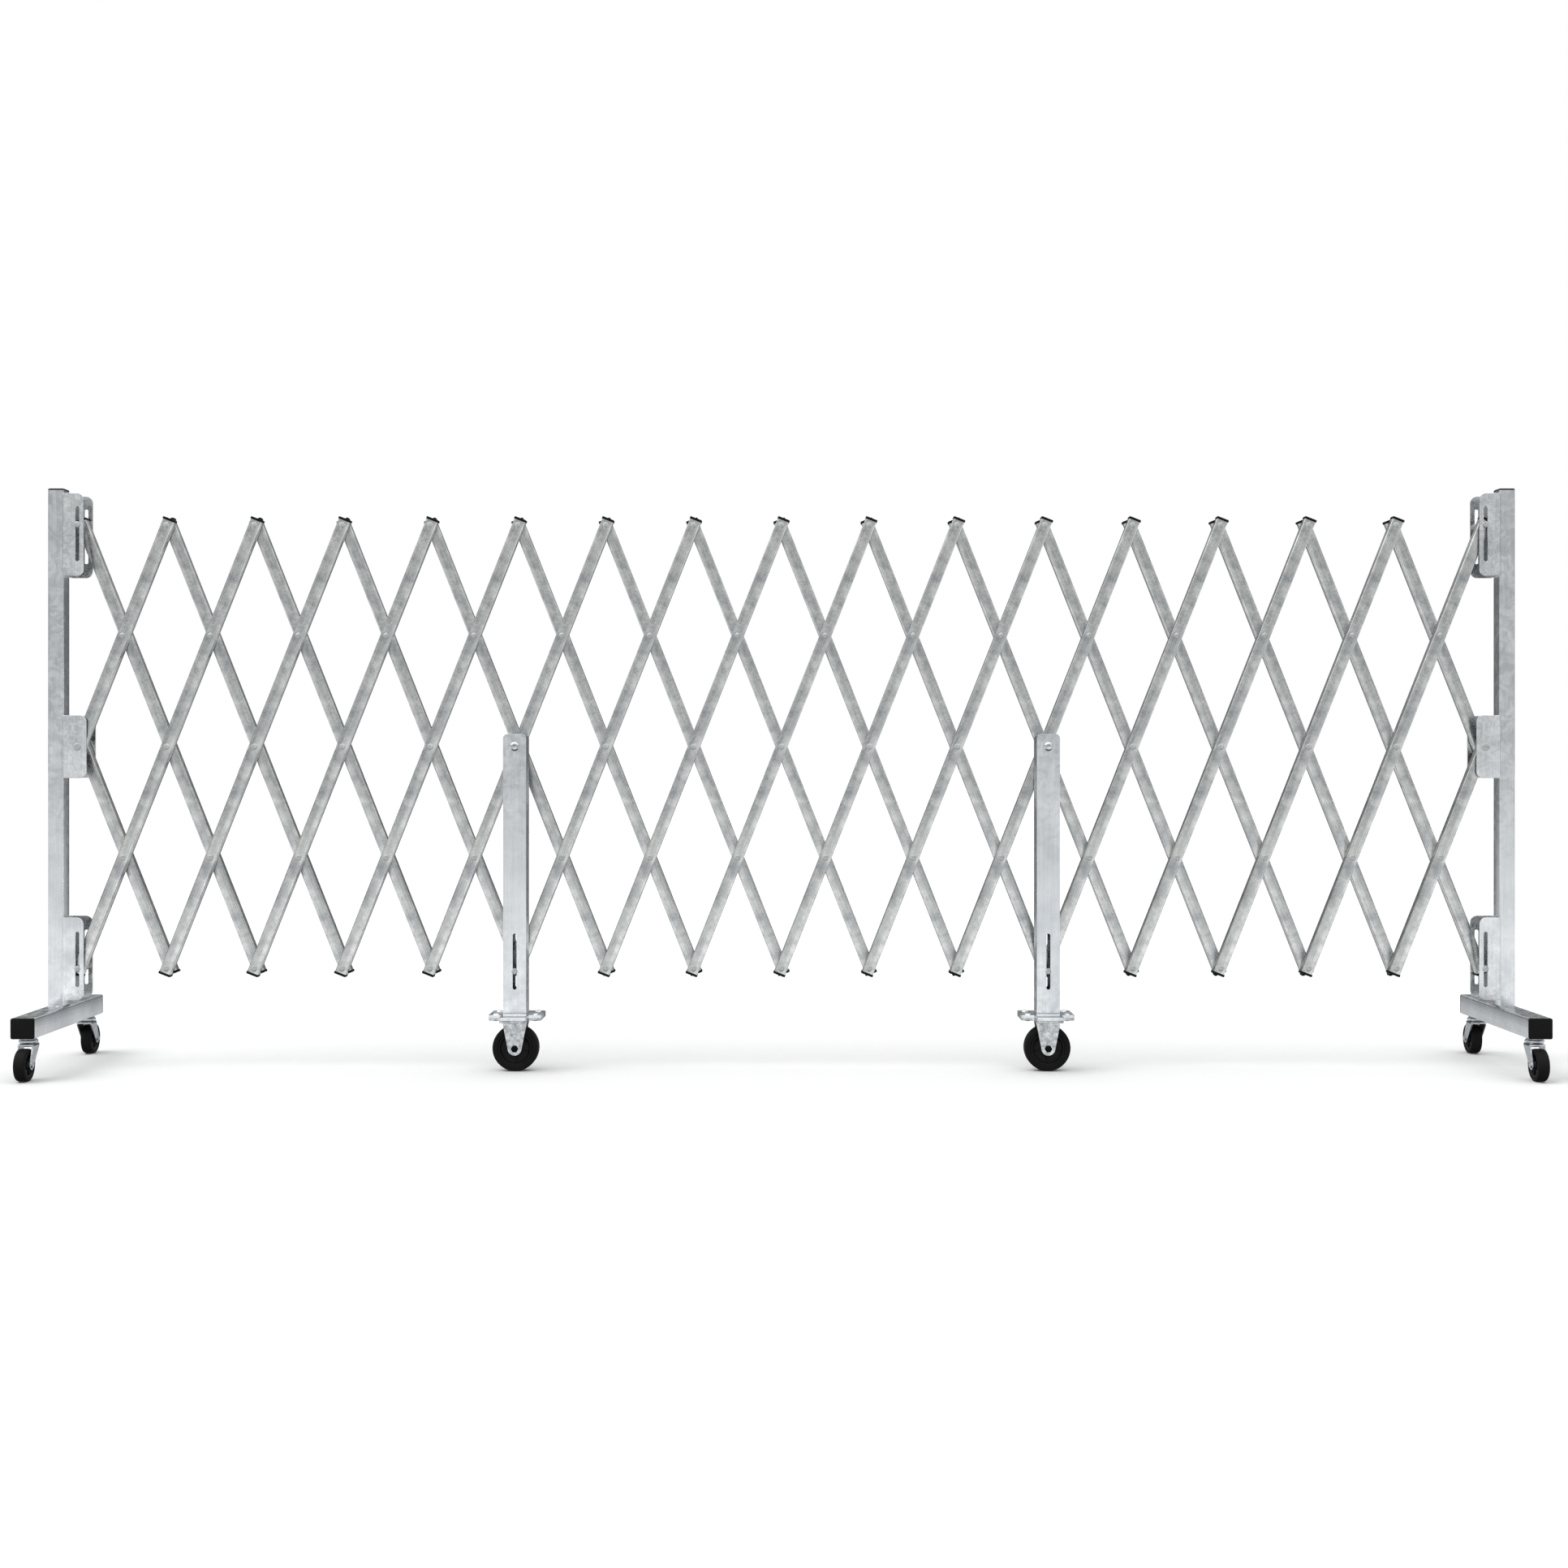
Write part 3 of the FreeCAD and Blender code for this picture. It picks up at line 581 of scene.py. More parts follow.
# A bead left as it cooled: ripples a couple of millimetres apart and a duller grey than the tube.
weld_aluminium = satin_metal("aluminium weld bead", WELD_LIGHT, WELD_DARK, 2.2, 6.0, 0.45, (1, 1, 1), 0.3)
for side in ("left", "right"):
    low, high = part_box(side + "_foot")
    tube = open_tube(low, high, "y", FOOT_CORNER, POST_WALL)
    piece(side + "_foot_tube", tube, foot_aluminium, side + "_end", instead_of=[side + "_foot"])
    post_low, post_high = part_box(side + "_post")
    rings = []
    for out, up in ((0.0002, WELD_LEG), (WELD_LEG * 0.55, WELD_LEG * 0.6), (WELD_LEG, 0.0002)):
        outline = rounded_outline(
            post_low.x - out, post_high.x + out, post_low.y - out, post_high.y + out,
            [POST_CORNER + out] * 4, 5,
        )
        rings.append([Vector((x, y, post_low.z + up)) for x, y in outline])
    bead = prism(list(reversed(rings)))
    piece(side + "_post_weld", bead, weld_aluminium, side + "_end")

# ==== Caps and plugs ====
# A thin black cap closes the top of each end post and a square black plug closes each end of its foot. All
# are the same moulded polypropylene as the slat caps, pushed in, with a softened rim.
RIM = 0.0016
POST_CAP_CORNER, PLUG_CORNER = 0.0025, 0.003


def plug_flange(low, high, axis, outward, corner):
    """A plug's visible flange: a rounded slab that fills a box, its outer rim softened."""
    a, b, c = {"x": (1, 2, 0), "y": (0, 2, 1), "z": (0, 1, 2)}[axis]
    inner, outer = (low[c], high[c]) if outward > 0 else (high[c], low[c])
    rings = []
    for inset, back in ((0, None), (0, RIM), (RIM * 0.14, RIM * 0.55), (RIM * 0.5, RIM * 0.14), (RIM, 0)):
        outline = rounded_outline(
            low[a] + inset, high[a] - inset, low[b] + inset, high[b] - inset, [corner] * 4, 4
        )
        along = inner if back is None else outer - outward * back
        ring = []
        for u, v in outline:
            point = [0, 0, 0]
            point[a], point[b], point[c] = u, v, along
            ring.append(Vector(point))
        rings.append(ring)
    return prism(rings)


for side in ("left", "right"):
    post_low, post_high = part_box(side + "_post")
    foot_low, foot_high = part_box(side + "_foot")
    caps_low, caps_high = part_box(side + "_caps")
    low = Vector((post_low.x, post_low.y, post_high.z))
    high = Vector((post_high.x, post_high.y, caps_high.z))
    top = plug_flange(low, high, "z", 1, POST_CAP_CORNER)
    piece(
        side + "_post_cap", top, black_polypropylene, side + "_end",
        instead_of=[side + "_caps"],
    )
    for name, outward in (("front", -1), ("rear", 1)):
        low, high = foot_low.copy(), foot_high.copy()
        low.y, high.y = (caps_low.y, foot_low.y) if outward < 0 else (foot_high.y, caps_high.y)
        plug = plug_flange(low, high, "y", outward, PLUG_CORNER)
        piece("%s_%s_plug" % (side, name), plug, black_polypropylene, side + "_end")

# ==== Castor stems ====
# A small ball-race housing under each end of a foot, pressed from zinc-plated steel, with the kingpin's head
# below it. The stem goes on up inside the foot's tube, where it can't be seen.
ZINC_LIGHT, ZINC_DARK = "#CDD0D3", "#A6AAAE"
RACE_DROP = 0.0107      # from the foot's underside to the bottom of the race
KINGPIN_R, KINGPIN_HEAD_R = 0.004, 0.0075
# Electroplated zinc over a pressing: bright, slightly blue, with small soft spangles.
zinc_plate = satin_metal("zinc plated steel", ZINC_LIGHT, ZINC_DARK, 1.0, 9.0, 0.32, (1, 1, 1), 0.04)
for side in ("left", "right"):
    low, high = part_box(side + "_castor_stems")
    x, foot_low = (low.x + high.x) / 2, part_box(side + "_foot")[0].z
    race_r = (high.x - low.x) / 2
    stem_y = high.y - race_r
    race_low = foot_low - RACE_DROP
    for name, way in (("front", -1), ("rear", 1)):
        made = bmesh.new()
        turned(
            made,
            [
                (0, low.z), (0.0062, low.z), (KINGPIN_HEAD_R, low.z + 0.0007),
                (KINGPIN_HEAD_R, low.z + 0.0018), (KINGPIN_R, low.z + 0.002), (KINGPIN_R, race_low),
                (race_r * 0.78, race_low), (race_r * 0.92, race_low + 0.0008), (race_r, race_low + 0.0030),
                (race_r, race_low + 0.0052), (race_r * 0.9, race_low + 0.0068),
                (race_r * 0.84, race_low + 0.0076), (race_r * 0.84, foot_low - 0.0016),
                (race_r * 0.8, foot_low - 0.0004), (race_r * 0.74, foot_low), (0, foot_low),
            ],
            (x, way * stem_y, 0), "z", 40,
        )
        piece(
            "%s_%s_stem" % (side, name), made, zinc_plate, side + "_end",
            instead_of=[side + "_castor_stems"] if way < 0 else (),
        )

# ==== Swivel castor forks ====
# A fork pressed from 2.5 mm zinc-plated steel turns on each kingpin and trails outwards. Its two legs taper
# to the axle, and a small bolt with a hexagon head and nut holds the wheel.
FORK_SHEET = 0.0025
CROWN_HALF, CROWN_THICK, CROWN_CORNER = 0.015, 0.003, 0.003
KINGPIN_HOLE_R = 0.0041
LEG_OUT, TIP_R = 0.0135, 0.008
SHOULDER_HALF, SHOULDER_R, SHOULDER_DROP = 0.012, 0.003, 0.0032
SMALL_AXLE_R, SMALL_HEAD_ACROSS, SMALL_HEAD_HIGH, WASHER_R = 0.003, 0.0085, 0.0015, 0.0052


def rounded_hull(circles, steps=10):
    """The outline round several circles (x, y, radius), anticlockwise, as a belt would lie."""
    points = []
    for x, y, radius in circles:
        count = 4 * steps
        points += [
            (x + radius * math.cos(2 * math.pi * n / count), y + radius * math.sin(2 * math.pi * n / count))
            for n in range(count)
        ]
    points.sort()
    belts = []
    for way in (points, list(reversed(points))):
        belt = []
        for p in way:
            while len(belt) > 1 and (
                (belt[-1][0] - belt[-2][0]) * (p[1] - belt[-2][1])
                - (belt[-1][1] - belt[-2][1]) * (p[0] - belt[-2][0])
            ) <= 1e-12:
                belt.pop()
            belt.append(p)
        belts += belt[:-1]
    return belts


def hexagon_head(made, at, axis, across, high, way, washer_r=0.0):
    """Adds a chamfered hexagon head to a bmesh, standing out along an axis, on a washer if it has one."""
    along = 0.0
    if washer_r:
        turned(made, [(0, 0), (washer_r, 0), (washer_r, way * 0.0009), (0, way * 0.0010)], at, axis, 28)
        along = way * 0.0010
    radius = across / math.sqrt(3)
    turned(
        made,
        [
            (0, along), (radius, along), (radius, along + way * high * 0.82),
            (radius * 0.86, along + way * high), (0, along + way * high),
        ],
        at, axis, 6,
    )


def join(target, source):
    """Moves one bmesh's faces into another."""
    mesh = bpy.data.meshes.new("part")
    source.to_mesh(mesh)
    source.free()
    target.from_mesh(mesh)
    bpy.data.meshes.remove(mesh)


for side in ("left", "right"):
    for name, way in (("front", -1), ("rear", 1)):
        node = "%s_%s_fork" % (side, name)
        low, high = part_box(node)
        x = (low.x + high.x) / 2
        wheel_low, wheel_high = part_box("%s_%s_wheel" % (side, name))
        stem_low, stem_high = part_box(side + "_castor_stems")
        stem_y = way * (stem_high.y - (stem_high.x - stem_low.x) / 2)
        wheel_y, axle_z = (wheel_low.y + wheel_high.y) / 2, (wheel_low.z + wheel_high.z) / 2
        crown_top = high.z
        fork = bmesh.new()
        crown = cut_sheet(
            [
                rounded_outline(
                    x - LEG_OUT, x + LEG_OUT, stem_y - CROWN_HALF, stem_y + CROWN_HALF, [CROWN_CORNER] * 4, 4
                ),
                circle_outline(x, stem_y, KINGPIN_HOLE_R),
            ],
            CROWN_THICK, 0.0005,
        )
        bmesh.ops.translate(crown, verts=crown.verts, vec=(0, 0, crown_top - CROWN_THICK / 2))
        join(fork, crown)
        for hand in (-1, 1):
            outline = rounded_hull([
                (stem_y - way * SHOULDER_HALF, crown_top - SHOULDER_DROP, SHOULDER_R),
                (stem_y + way * SHOULDER_HALF, crown_top - SHOULDER_DROP, SHOULDER_R),
                (wheel_y, axle_z, TIP_R),
            ])
            leg = cut_sheet([outline], FORK_SHEET, 0.0005)
            turn = Matrix(((0, 0, 1, 0), (1, 0, 0, 0), (0, 1, 0, 0), (0, 0, 0, 1)))
            bmesh.ops.transform(leg, matrix=turn, verts=leg.verts)
            bmesh.ops.translate(leg, verts=leg.verts, vec=(x + hand * (LEG_OUT - FORK_SHEET / 2), 0, 0))
            join(fork, leg)
            hexagon_head(
                fork, (x + hand * LEG_OUT, wheel_y, axle_z), "x", SMALL_HEAD_ACROSS, SMALL_HEAD_HIGH, hand,
                WASHER_R,
            )
        shank = [(0, -LEG_OUT), (SMALL_AXLE_R, -LEG_OUT), (SMALL_AXLE_R, LEG_OUT), (0, LEG_OUT)]
        turned(fork, shank, (x, wheel_y, axle_z), "x", 20)
        bmesh.ops.recalc_face_normals(fork, faces=fork.faces)
        body = "%s_%s_castor" % (side, name)
        piece(
            node + "_pressing", fork, zinc_plate, body,
            instead_of=[node], crease=SHEET_CREASE,
        )

# ==== Wheels ====
# Black wheels: a solid rubber tyre moulded round a black nylon centre with a raised hub and a dished web. The
# two under the middle posts are 80 mm across, and the four under the feet are smaller.
TYRE_DARK, TYRE_LIGHT = "#080808", "#141413"
CENTRE_DARK, CENTRE_LIGHT = "#0E0E0F", "#1A1A1B"
SMALL_TYRE_HALF, SMALL_BORE_R, SMALL_HUB_R = 0.0095, 0.0031, 0.0075
RIBS, RIB_THICK, RIB_EDGE = 5, 0.0022, 0.0005
WHEEL_CREASE = 40
# Moulded rubber: matt black, a little greyer where it has rolled.
tyre_rubber = moulded_plastic("black tyre rubber", TYRE_DARK, TYRE_LIGHT, 1.4, 0.68)
# Moulded nylon: black with a slightly harder sheen than the tyre round it.
nylon_centre = moulded_plastic("moulded black nylon", CENTRE_DARK, CENTRE_LIGHT, 0.8, 0.42)


def tyre_outline(radius, inner, half):
    """The tyre's section: flat tread, round shoulders, a bead line and a flank that tucks into the centre."""
    crown = [
        (radius * 0.9, 1.0), (radius * 0.945, 0.97), (radius * 0.975, 0.88), (radius * 0.993, 0.72),
        (radius, 0.45),
    ]
    flank = [
        (inner, 0.84), (inner + 0.0008, 0.93), (inner + 0.002, 0.98), (radius * 0.84, 1.0),
        (radius * 0.86, 0.97), (radius * 0.88, 0.97),
    ] + crown
    near = [(r, -a * half) for r, a in flank]
    return near + [(r, -a) for r, a in reversed(near)]


def wheel_pieces(name, body, node, axis, at, radius, half, hub_half, bore, hub_r):
    """A wheel's two pieces, tyre and centre; half widths are taken along its axis."""
    tyre, centre = bmesh.new(), bmesh.new()
    inner = radius * 0.72
    turned(tyre, tyre_outline(radius, inner, half), at, axis, 72)
    near = [
        (bore, -hub_half), (hub_r * 0.9, -hub_half), (hub_r, -hub_half + 0.0008),
        (hub_r * 1.06, -half * 0.62), (hub_r * 1.25, -half * 0.52), (inner * 0.82, -half * 0.52),
        (inner * 0.88, -half * 0.6),
        (inner * 0.9, -half * 0.86), (inner * 0.93, -half * 0.92), (inner * 0.995, -half * 0.92),
        (inner + 0.0002, -half * 0.8),
    ]
    turned(centre, near + [(r, -a) for r, a in reversed(near)], at, axis, 60)
    for n in range(RIBS):
        for way in (-1, 1):
            angle = 2 * math.pi * (n + 0.25) / RIBS
            reach = (hub_r + inner * 0.84) / 2
            length = (inner * 0.86 - hub_r) / 2
            rib = bmesh.new()
            bmesh.ops.create_cube(rib, size=1)
            bmesh.ops.scale(rib, vec=(length * 2, RIB_THICK, half * 0.32), verts=rib.verts)
            bmesh.ops.bevel(rib, geom=rib.edges, offset=RIB_EDGE, segments=2, affect="EDGES")
            spot = Matrix.Rotation(angle, 4, "Z") @ Matrix.Translation((reach, 0, way * half * 0.6))
            turn, about = (math.pi / 2, "Y") if axis == "x" else (-math.pi / 2, "X")
            lay = Matrix.Rotation(turn, 4, about)
            bmesh.ops.transform(rib, matrix=Matrix.Translation(at) @ lay @ spot, verts=rib.verts)
            join(centre, rib)
    piece(name + "_tyre", tyre, tyre_rubber, body, instead_of=[node], crease=WHEEL_CREASE)
    piece(name + "_centre", centre, nylon_centre, body, crease=WHEEL_CREASE)


for side in ("left", "right"):
    for name in ("front", "rear"):
        node = "%s_%s_wheel" % (side, name)
        low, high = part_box(node)
        at = (low + high) / 2
        hub = (high.x - low.x) / 2
        body = "%s_%s_roller" % (side, name)
        wheel_pieces(
            node, body, node, "x", at, (high.z - low.z) / 2, SMALL_TYRE_HALF, hub, SMALL_BORE_R, SMALL_HUB_R
        )

# ==== Middle posts ====
# Two 40 mm square aluminium tubes stand in front of the lattice, with capped tops rounded at the sides. A
# bolt near the top carries the middle crossing, and a slot lower down guides the pin of the tip below it.
PROP_TOP_R = 0.008
PROP_HALF, PROP_WALL, WALL_LAP = 0.020, 0.002, 0.0006      # the sides lap this far into front and back
BOLT_R, BOLT_HEAD_R, BOLT_HEAD_HIGH = 0.004, 0.008, 0.003
BOLT_WASHER, NUT_ACROSS, NUT_HIGH = 0.001, 0.0125, 0.002
for side in ("left", "right"):
    x = (PROP_COLUMNS[side] - CELLS / 2) * COLUMN_PITCH
    low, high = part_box(side + "_prop")
    bottom, top = low.z, high.z
    outline = rounded_outline(x - PROP_HALF, x + PROP_HALF, bottom, top, [0, 0, PROP_TOP_R, PROP_TOP_R], 8)
    slot_hole = slot_outline(x, MIDDLE_HEIGHT - SLOT_FAR, MIDDLE_HEIGHT - SLOT_NEAR, SLOT_R)
    stand = Matrix(((1, 0, 0, 0), (0, 0, 1, 0), (0, 1, 0, 0), (0, 0, 0, 1)))
    tube = bmesh.new()
    for y in (PROP_FRONT + PROP_WALL / 2, PROP_BACK - PROP_WALL / 2):
        wall = cut_sheet([outline, slot_hole], PROP_WALL, 0.0002)
        bmesh.ops.transform(wall, matrix=Matrix.Translation((0, y, 0)) @ stand, verts=wall.verts)
        join(tube, wall)
    above = [p for p in outline if p[1] > bottom + PROP_WALL / 2]
    path = [(x + PROP_HALF, bottom)] + above + [(x - PROP_HALF, bottom)]
    shell = bmesh.new()
    rows = []
    for y in (PROP_FRONT + WALL_LAP, PROP_BACK - WALL_LAP):
        rows.append([shell.verts.new((px, y, pz)) for px, pz in path])
    inside = PROP_HALF - PROP_WALL
    inner_path = [(x + inside, bottom)]
    inner_path += [(x + (px - x) * inside / PROP_HALF, pz - PROP_WALL) for px, pz in path[1:-1]]
    inner_path += [(x - inside, bottom)]
    for y in (PROP_BACK - WALL_LAP, PROP_FRONT + WALL_LAP):
        rows.append([shell.verts.new((px, y, pz)) for px, pz in inner_path])
    for one, two in zip(rows, rows[1:] + rows[:1]):
        for n in range(len(path) - 1):
            shell.faces.new((one[n], one[n + 1], two[n + 1], two[n]))
    join(tube, shell)
    bmesh.ops.recalc_face_normals(tube, faces=tube.faces)
    piece(
        side + "_prop_tube", tube, anodised_aluminium, side + "_middle_post",
        instead_of=[side + "_prop"], crease=SHEET_CREASE,
    )

    bolt = bmesh.new()
    face = PROP_FRONT
    turned(
        bolt,
        [
            (0, face - 0.0006), (0.0021, face - 0.0006), (0.0024, face - 0.0024),
            (0.0032, face - BOLT_HEAD_HIGH), (0.0048, face - BOLT_HEAD_HIGH), (0.0062, face - 0.0024),
            (0.0072, face - 0.0012),
            (BOLT_HEAD_R, face - 0.0009), (BOLT_HEAD_R, face),
        ],
        (x, 0, MIDDLE_HEIGHT), "y", 36,
    )
    nut_face = LAYER_FAR + FACES + BOLT_WASHER
    for start, end, radius in (
        (PROP_BACK, -LAYER_FAR - FACES, BOLT_HEAD_R), (-LAYER_NEAR, LAYER_NEAR, BOLT_R),
        (LAYER_FAR + FACES, nut_face, BOLT_HEAD_R),
    ):
        turned(bolt, [(0, start), (radius, start), (radius, end), (0, end)], (x, 0, MIDDLE_HEIGHT), "y", 32)
    hexagon_head(bolt, (x, nut_face, MIDDLE_HEIGHT), "y", NUT_ACROSS, NUT_HIGH, 1)
    piece(side + "_pivot_bolt", bolt, zinc_plate, side + "_middle_post")

# ==== Base plates and rigid castors ====
# A 6 mm anodised aluminium plate is welded under each middle post and riveted to the galvanised top plate of
# a fixed castor. Both are T-shaped, with a tongue in front, and a dark bolt through the two legs is the axle.
PLATE_CORNER, WING_LONG, TONGUE_HALF = 0.005, 0.070, 0.023
RIVET_TO_EDGE, PLATE_HEAD_R, PLATE_HEAD_HIGH = 0.012, 0.006, 0.002
LEG_SHEET, LEG_TIP_R, LEG_TOP_HALF, LEG_SHOULDER = 0.0035, 0.012, 0.021, 0.003
AXLE_R, AXLE_HEAD_ACROSS, AXLE_HEAD_HIGH = 0.005, 0.0112, 0.0029
BIG_TYRE_HALF, BIG_BORE_R, BIG_HUB_R = 0.015, 0.0051, 0.012
GALVANISED_LIGHT, GALVANISED_DARK = "#D9DBDC", "#8E9194"
OXIDE_LIGHT, OXIDE_DARK = "#1D1E20", "#0C0D0E"
# Hot-dip galvanised: a grey patchwork of zinc crystals, some bright and some dull, each 5 to 10 mm across.
galvanised_steel = satin_metal(
    "hot dip galvanised steel", GALVANISED_LIGHT, GALVANISED_DARK, 1.6, 8.0, 0.3, (1, 1, 1), 0.06
)
# Blackened in hot salts and oiled: nearly black, with a soft grey glint on its edges.
black_oxide = satin_metal("black oxide steel", OXIDE_LIGHT, OXIDE_DARK, 1.0, 6.0, 0.4, (1, 1, 1), 0.05)


def softened_path(points, radius, steps=5):
    """A polygon's outline with every corner, inward or outward, replaced by an arc of one radius."""
    made = []
    for before, corner, after in zip(points[-1:] + points[:-1], points, points[1:] + points[:1]):
        at = Vector(corner)
        one, two = (Vector(before) - at).normalized(), (Vector(after) - at).normalized()
        start, end = at + one * radius, at + two * radius
        centre = at + (one + two) * radius
        for n in range(steps + 1):
            turn = math.pi / 2 * n / steps
            made.append(tuple(centre + (start - centre) * math.cos(turn) + (end - centre) * math.sin(turn)))
    return made


for side in ("left", "right"):
    x = (PROP_COLUMNS[side] - CELLS / 2) * COLUMN_PITCH
    prop_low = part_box(side + "_prop")[0]
    base_low, base_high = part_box(side + "_prop_base")
    fork_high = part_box(side + "_prop_fork")[1]
    wheel_low, wheel_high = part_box(side + "_prop_wheel")
    axle = (wheel_low + wheel_high) / 2
    y, plate_top, plate_low = axle.y, prop_low.z, fork_high.z
    wings_front = base_high.y - WING_LONG
    outline = softened_path(
        [
            (x - TONGUE_HALF, base_low.y), (x + TONGUE_HALF, base_low.y), (x + TONGUE_HALF, wings_front),
            (base_high.x, wings_front), (base_high.x, base_high.y), (base_low.x, base_high.y),
            (base_low.x, wings_front), (x - TONGUE_HALF, wings_front),
        ],
        PLATE_CORNER,
    )
    body = side + "_middle_post"

    base = cut_sheet([outline], plate_top - plate_low, 0.0006)
    bmesh.ops.translate(base, verts=base.verts, vec=(0, 0, (plate_top + plate_low) / 2))
    rings = []
    for out, up in ((0.0012, 0.0002), (0.0007, 0.0007), (0.0002, 0.0012)):
        ring = rounded_outline(
            x - PROP_HALF - out, x + PROP_HALF + out, PROP_FRONT - out, PROP_BACK + out, [0.0016 + out] * 4, 4
        )
        rings.append([Vector((px, py, plate_top + up)) for px, py in ring])
    join(base, prism(rings))
    for rivet_x in (base_low.x + RIVET_TO_EDGE, base_high.x - RIVET_TO_EDGE):
        for rivet_y in (wings_front + RIVET_TO_EDGE, base_high.y - RIVET_TO_EDGE):
            for face, way in ((plate_top, 1), (plate_low - LEG_SHEET, -1)):
                dome = [(r * PLATE_HEAD_R, face + way * h * PLATE_HEAD_HIGH) for r, h in reversed(button)]
                turned(base, [(0, face), (PLATE_HEAD_R, face)] + dome, (rivet_x, rivet_y, 0), "z")
    bmesh.ops.recalc_face_normals(base, faces=base.faces)
    piece(
        side + "_base_plate", base, foot_aluminium, body,
        instead_of=[side + "_prop_base"], crease=SHEET_CREASE,
    )

    fork = cut_sheet([outline], LEG_SHEET, 0.0005)
    bmesh.ops.translate(fork, verts=fork.verts, vec=(0, 0, plate_low - LEG_SHEET / 2))
    leg_out = (wheel_high.y - wheel_low.y) / 2 + FACES + LEG_SHEET
    fork_under = plate_low - LEG_SHEET
    shoulder = LEG_TOP_HALF - LEG_SHOULDER
    for hand in (-1, 1):
        leg = cut_sheet(
            [rounded_hull([
                (x - shoulder, fork_under - LEG_SHOULDER, LEG_SHOULDER),
                (x + shoulder, fork_under - LEG_SHOULDER, LEG_SHOULDER), (x, axle.z, LEG_TIP_R),
            ], 14)],
            LEG_SHEET, 0.0006,
        )
        spot = Matrix.Translation((0, y + hand * (leg_out - LEG_SHEET / 2), 0)) @ stand
        bmesh.ops.transform(leg, matrix=spot, verts=leg.verts)
        join(fork, leg)
    bmesh.ops.recalc_face_normals(fork, faces=fork.faces)
    piece(
        side + "_fork_pressing", fork, galvanised_steel, body,
        instead_of=[side + "_prop_fork"], crease=SHEET_CREASE,
    )

    bolt = bmesh.new()
    shank = [(0, y - leg_out), (AXLE_R, y - leg_out), (AXLE_R, y + leg_out), (0, y + leg_out)]
    turned(bolt, shank, (x, 0, axle.z), "y", 24)
    for hand in (-1, 1):
        hexagon_head(bolt, (x, y + hand * leg_out, axle.z), "y", AXLE_HEAD_ACROSS, AXLE_HEAD_HIGH, hand)
    piece(side + "_axle_bolt", bolt, black_oxide, body)
    wheel_pieces(
        side + "_prop_wheel", side + "_middle_wheel", side + "_prop_wheel", "y", axle,
        (wheel_high.z - wheel_low.z) / 2, BIG_TYRE_HALF, (wheel_high.y - wheel_low.y) / 2,
        BIG_BORE_R, BIG_HUB_R,
    )

# ==== Floor, light and camera ====
# A plain white studio: a pale matt floor, a bright soft ceiling, and grey walls, dim behind the barrier and
# bright low down in front, which the metal mirrors. A broad lamp high on the left throws a faint shadow, and
# the camera stands level with the middle.
FLOOR_LIGHT, FLOOR_DARK, FLOOR_HALF = "#CFCFCE", "#CACAC9", 60.0
WALL_TINT = "#FAFBFC"
LAMP_STRENGTH, LAMP_SPREAD, LAMP_WAY = 1.3, math.radians(35), (0.75, 0.2, -1.0)
SENSOR_MM, LENS_MM, SHIFT_X, SHIFT_Y = 36.0, 46.96, 0.0016, -0.0176
CAMERA_AT = (0.0, -3.6, 0.546)
floor_mesh = bmesh.new()
bmesh.ops.create_grid(floor_mesh, x_segments=8, y_segments=8, size=FLOOR_HALF)
mesh = bpy.data.meshes.new("floor")
floor_mesh.to_mesh(mesh)
floor_mesh.free()
floor = bpy.data.objects.new("floor", mesh)
bpy.context.scene.collection.objects.link(floor)
floor.visible_glossy = False      # undersides mirror the dim foot of the wall, not the floor
# Matt emulsion on a smooth screed: an even pale tone with hardly any mottle.
painted_floor, tree = new_material("matt painted floor")
speck = add(tree, "ShaderNodeTexNoise", [("Scale", 3.0), ("Detail", 2.0)])
tone = add(
    tree, "ShaderNodeMix", [("data_type", "RGBA"), (6, linear(FLOOR_DARK)), (7, linear(FLOOR_LIGHT))],
    [(0, speck.outputs["Fac"])],
)
shader = add(
    tree, "ShaderNodeBsdfPrincipled", [("Roughness", 0.95), ("Specular IOR Level", 0.1)],
    [("Base Color", tone.outputs[2])],
)
add(tree, "ShaderNodeOutputMaterial", [], [("Surface", shader.outputs["BSDF"])])
floor.data.materials.append(painted_floor)
floor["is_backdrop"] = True

world = bpy.data.worlds.new("studio")
bpy.context.scene.world = world
world.use_nodes = True
tree = world.node_tree
tree.nodes.clear()
sight = add(tree, "ShaderNodeLightPath")
toward = add(tree, "ShaderNodeTexCoord")
axes = add(tree, "ShaderNodeSeparateXYZ", [], [("Vector", toward.outputs["Generated"])])
walls = add(
    tree, "ShaderNodeMapRange", [("From Min", -0.8), ("From Max", 1.0), ("To Min", 0.60), ("To Max", 0.18)],
    [("Value", axes.outputs["Y"])],
)
skirting = add(
    tree, "ShaderNodeMapRange", [("From Min", -0.01), ("From Max", -0.13), ("To Min", 0.0), ("To Max", 0.92)],
    [("Value", axes.outputs["Z"])],
)
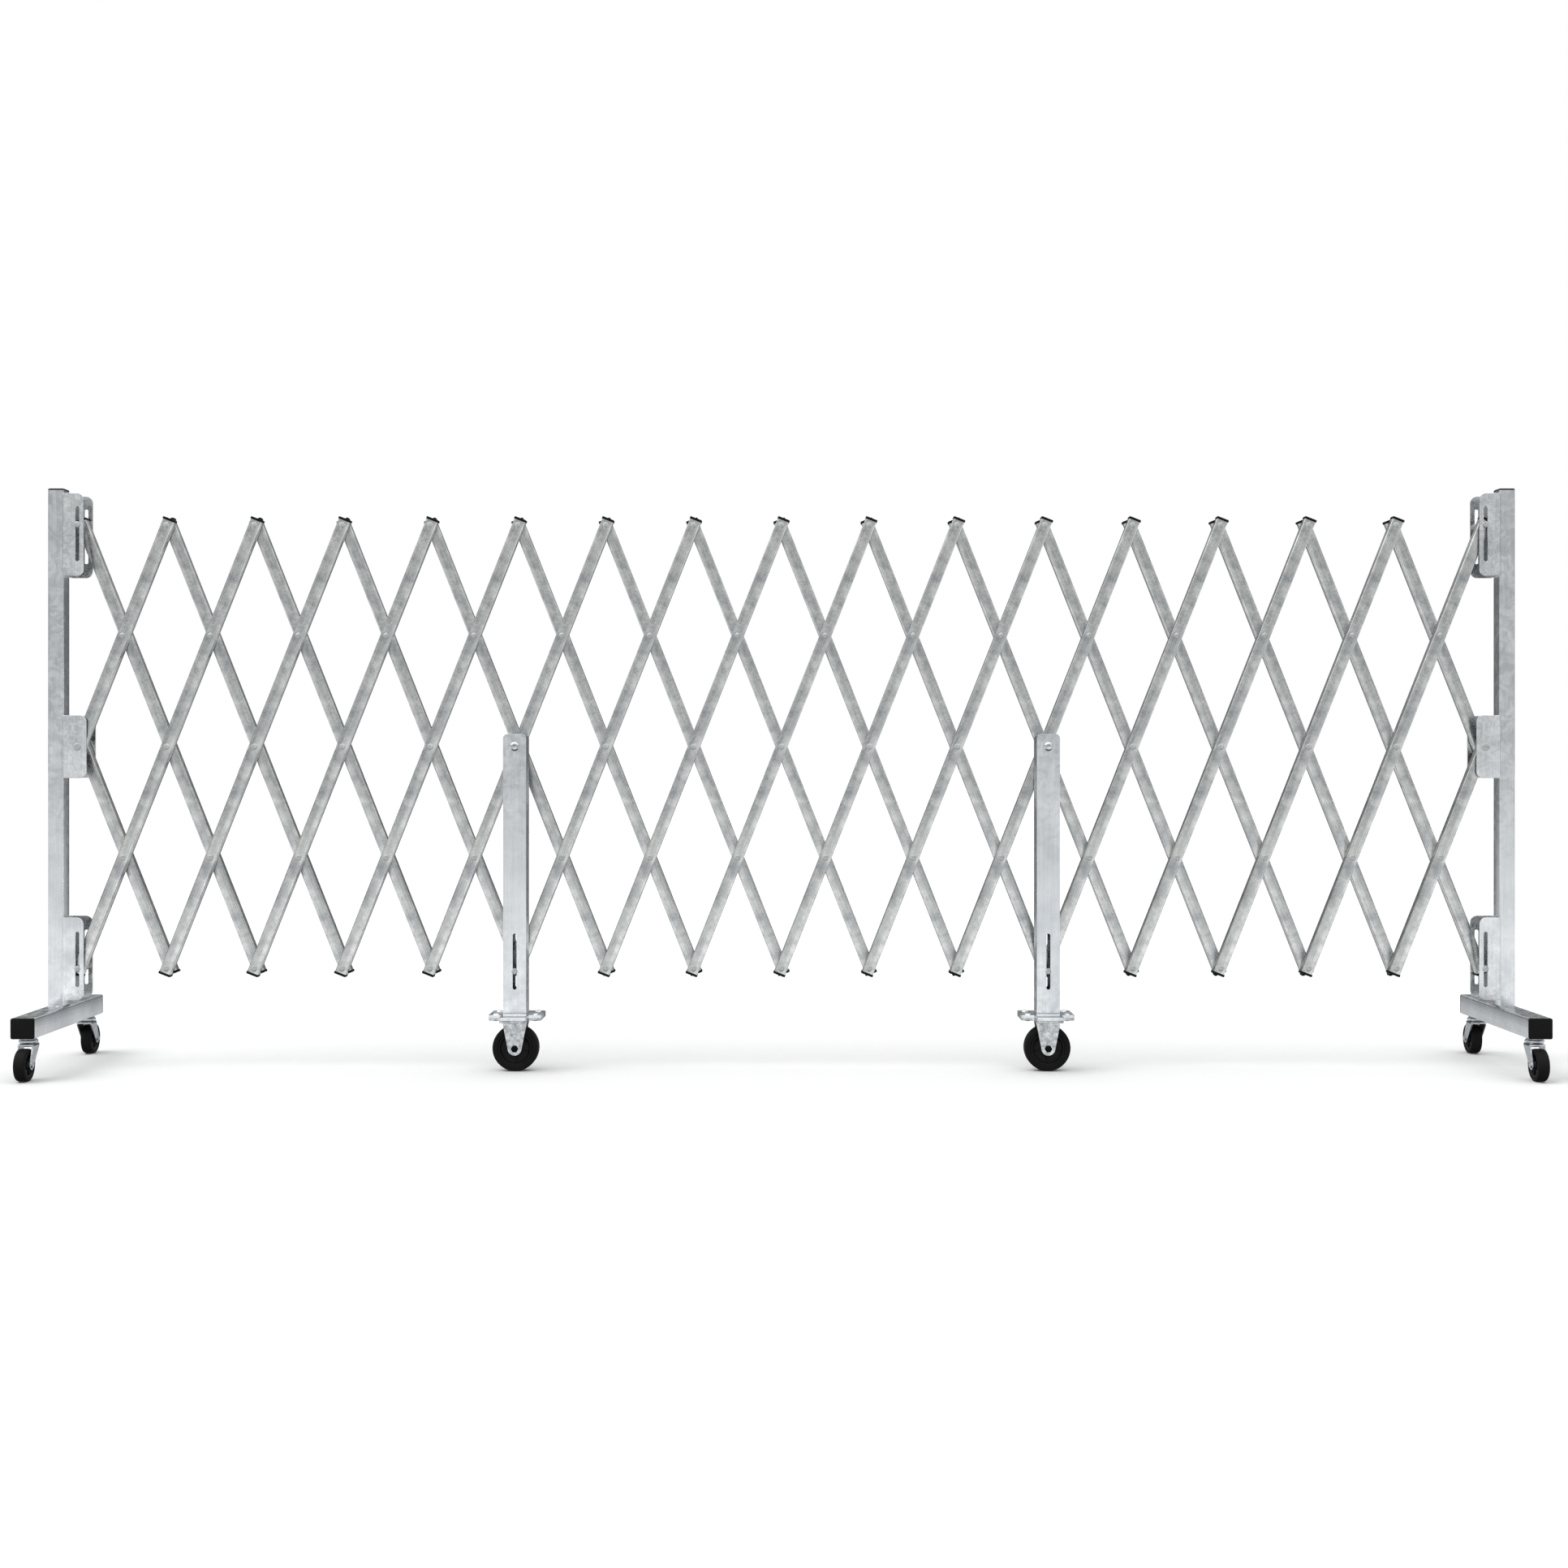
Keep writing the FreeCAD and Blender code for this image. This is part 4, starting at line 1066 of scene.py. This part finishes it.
in_front = add(
    tree, "ShaderNodeMapRange", [("From Min", 0.985), ("From Max", 0.9), ("To Min", 0.0), ("To Max", 1.0)],
    [("Value", axes.outputs["Y"])],
)
under = add(
    tree, "ShaderNodeMapRange", [("From Min", -0.62), ("From Max", -0.34), ("To Min", 0.12), ("To Max", 1.0)],
    [("Value", axes.outputs["Z"])],
)
ceiling = add(
    tree, "ShaderNodeMapRange", [("From Min", 0.2), ("From Max", 0.9), ("To Min", 0.0), ("To Max", 1.8)],
    [("Value", axes.outputs["Z"])],
)
sides = add(
    tree, "ShaderNodeMath", [("operation", "MULTIPLY_ADD")],
    [(0, skirting.outputs["Result"]), (1, in_front.outputs["Result"]), (2, walls.outputs["Result"])],
)
level = add(
    tree, "ShaderNodeMath", [("operation", "MULTIPLY_ADD")],
    [(0, sides.outputs[0]), (1, under.outputs["Result"]), (2, ceiling.outputs["Result"])],
)
lit = add(tree, "ShaderNodeBackground", [("Color", linear(WALL_TINT))], [("Strength", level.outputs[0])])
seen = add(tree, "ShaderNodeBackground", [("Color", (1, 1, 1, 1)), ("Strength", 1.0)])
both = add(
    tree, "ShaderNodeMixShader", [],
    [(0, sight.outputs["Is Camera Ray"]), (1, lit.outputs["Background"]), (2, seen.outputs["Background"])],
)
add(tree, "ShaderNodeOutputWorld", [], [("Surface", both.outputs["Shader"])])

lamp = bpy.data.lights.new("broad lamp", "SUN")
lamp.energy, lamp.angle = LAMP_STRENGTH, LAMP_SPREAD
holder = bpy.data.objects.new("broad lamp", lamp)
bpy.context.scene.collection.objects.link(holder)
holder.rotation_euler = Vector(LAMP_WAY).to_track_quat("-Z", "Y").to_euler()

lens = bpy.data.cameras.new("camera")
lens.sensor_width, lens.lens = SENSOR_MM, LENS_MM
lens.shift_x, lens.shift_y = SHIFT_X, SHIFT_Y
camera = bpy.data.objects.new("camera", lens)
bpy.context.scene.collection.objects.link(camera)
camera.location = CAMERA_AT
camera.rotation_euler = (math.pi / 2, 0, 0)
bpy.context.scene.camera = camera
bpy.context.scene.view_settings.view_transform = "Standard"

low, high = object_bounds()
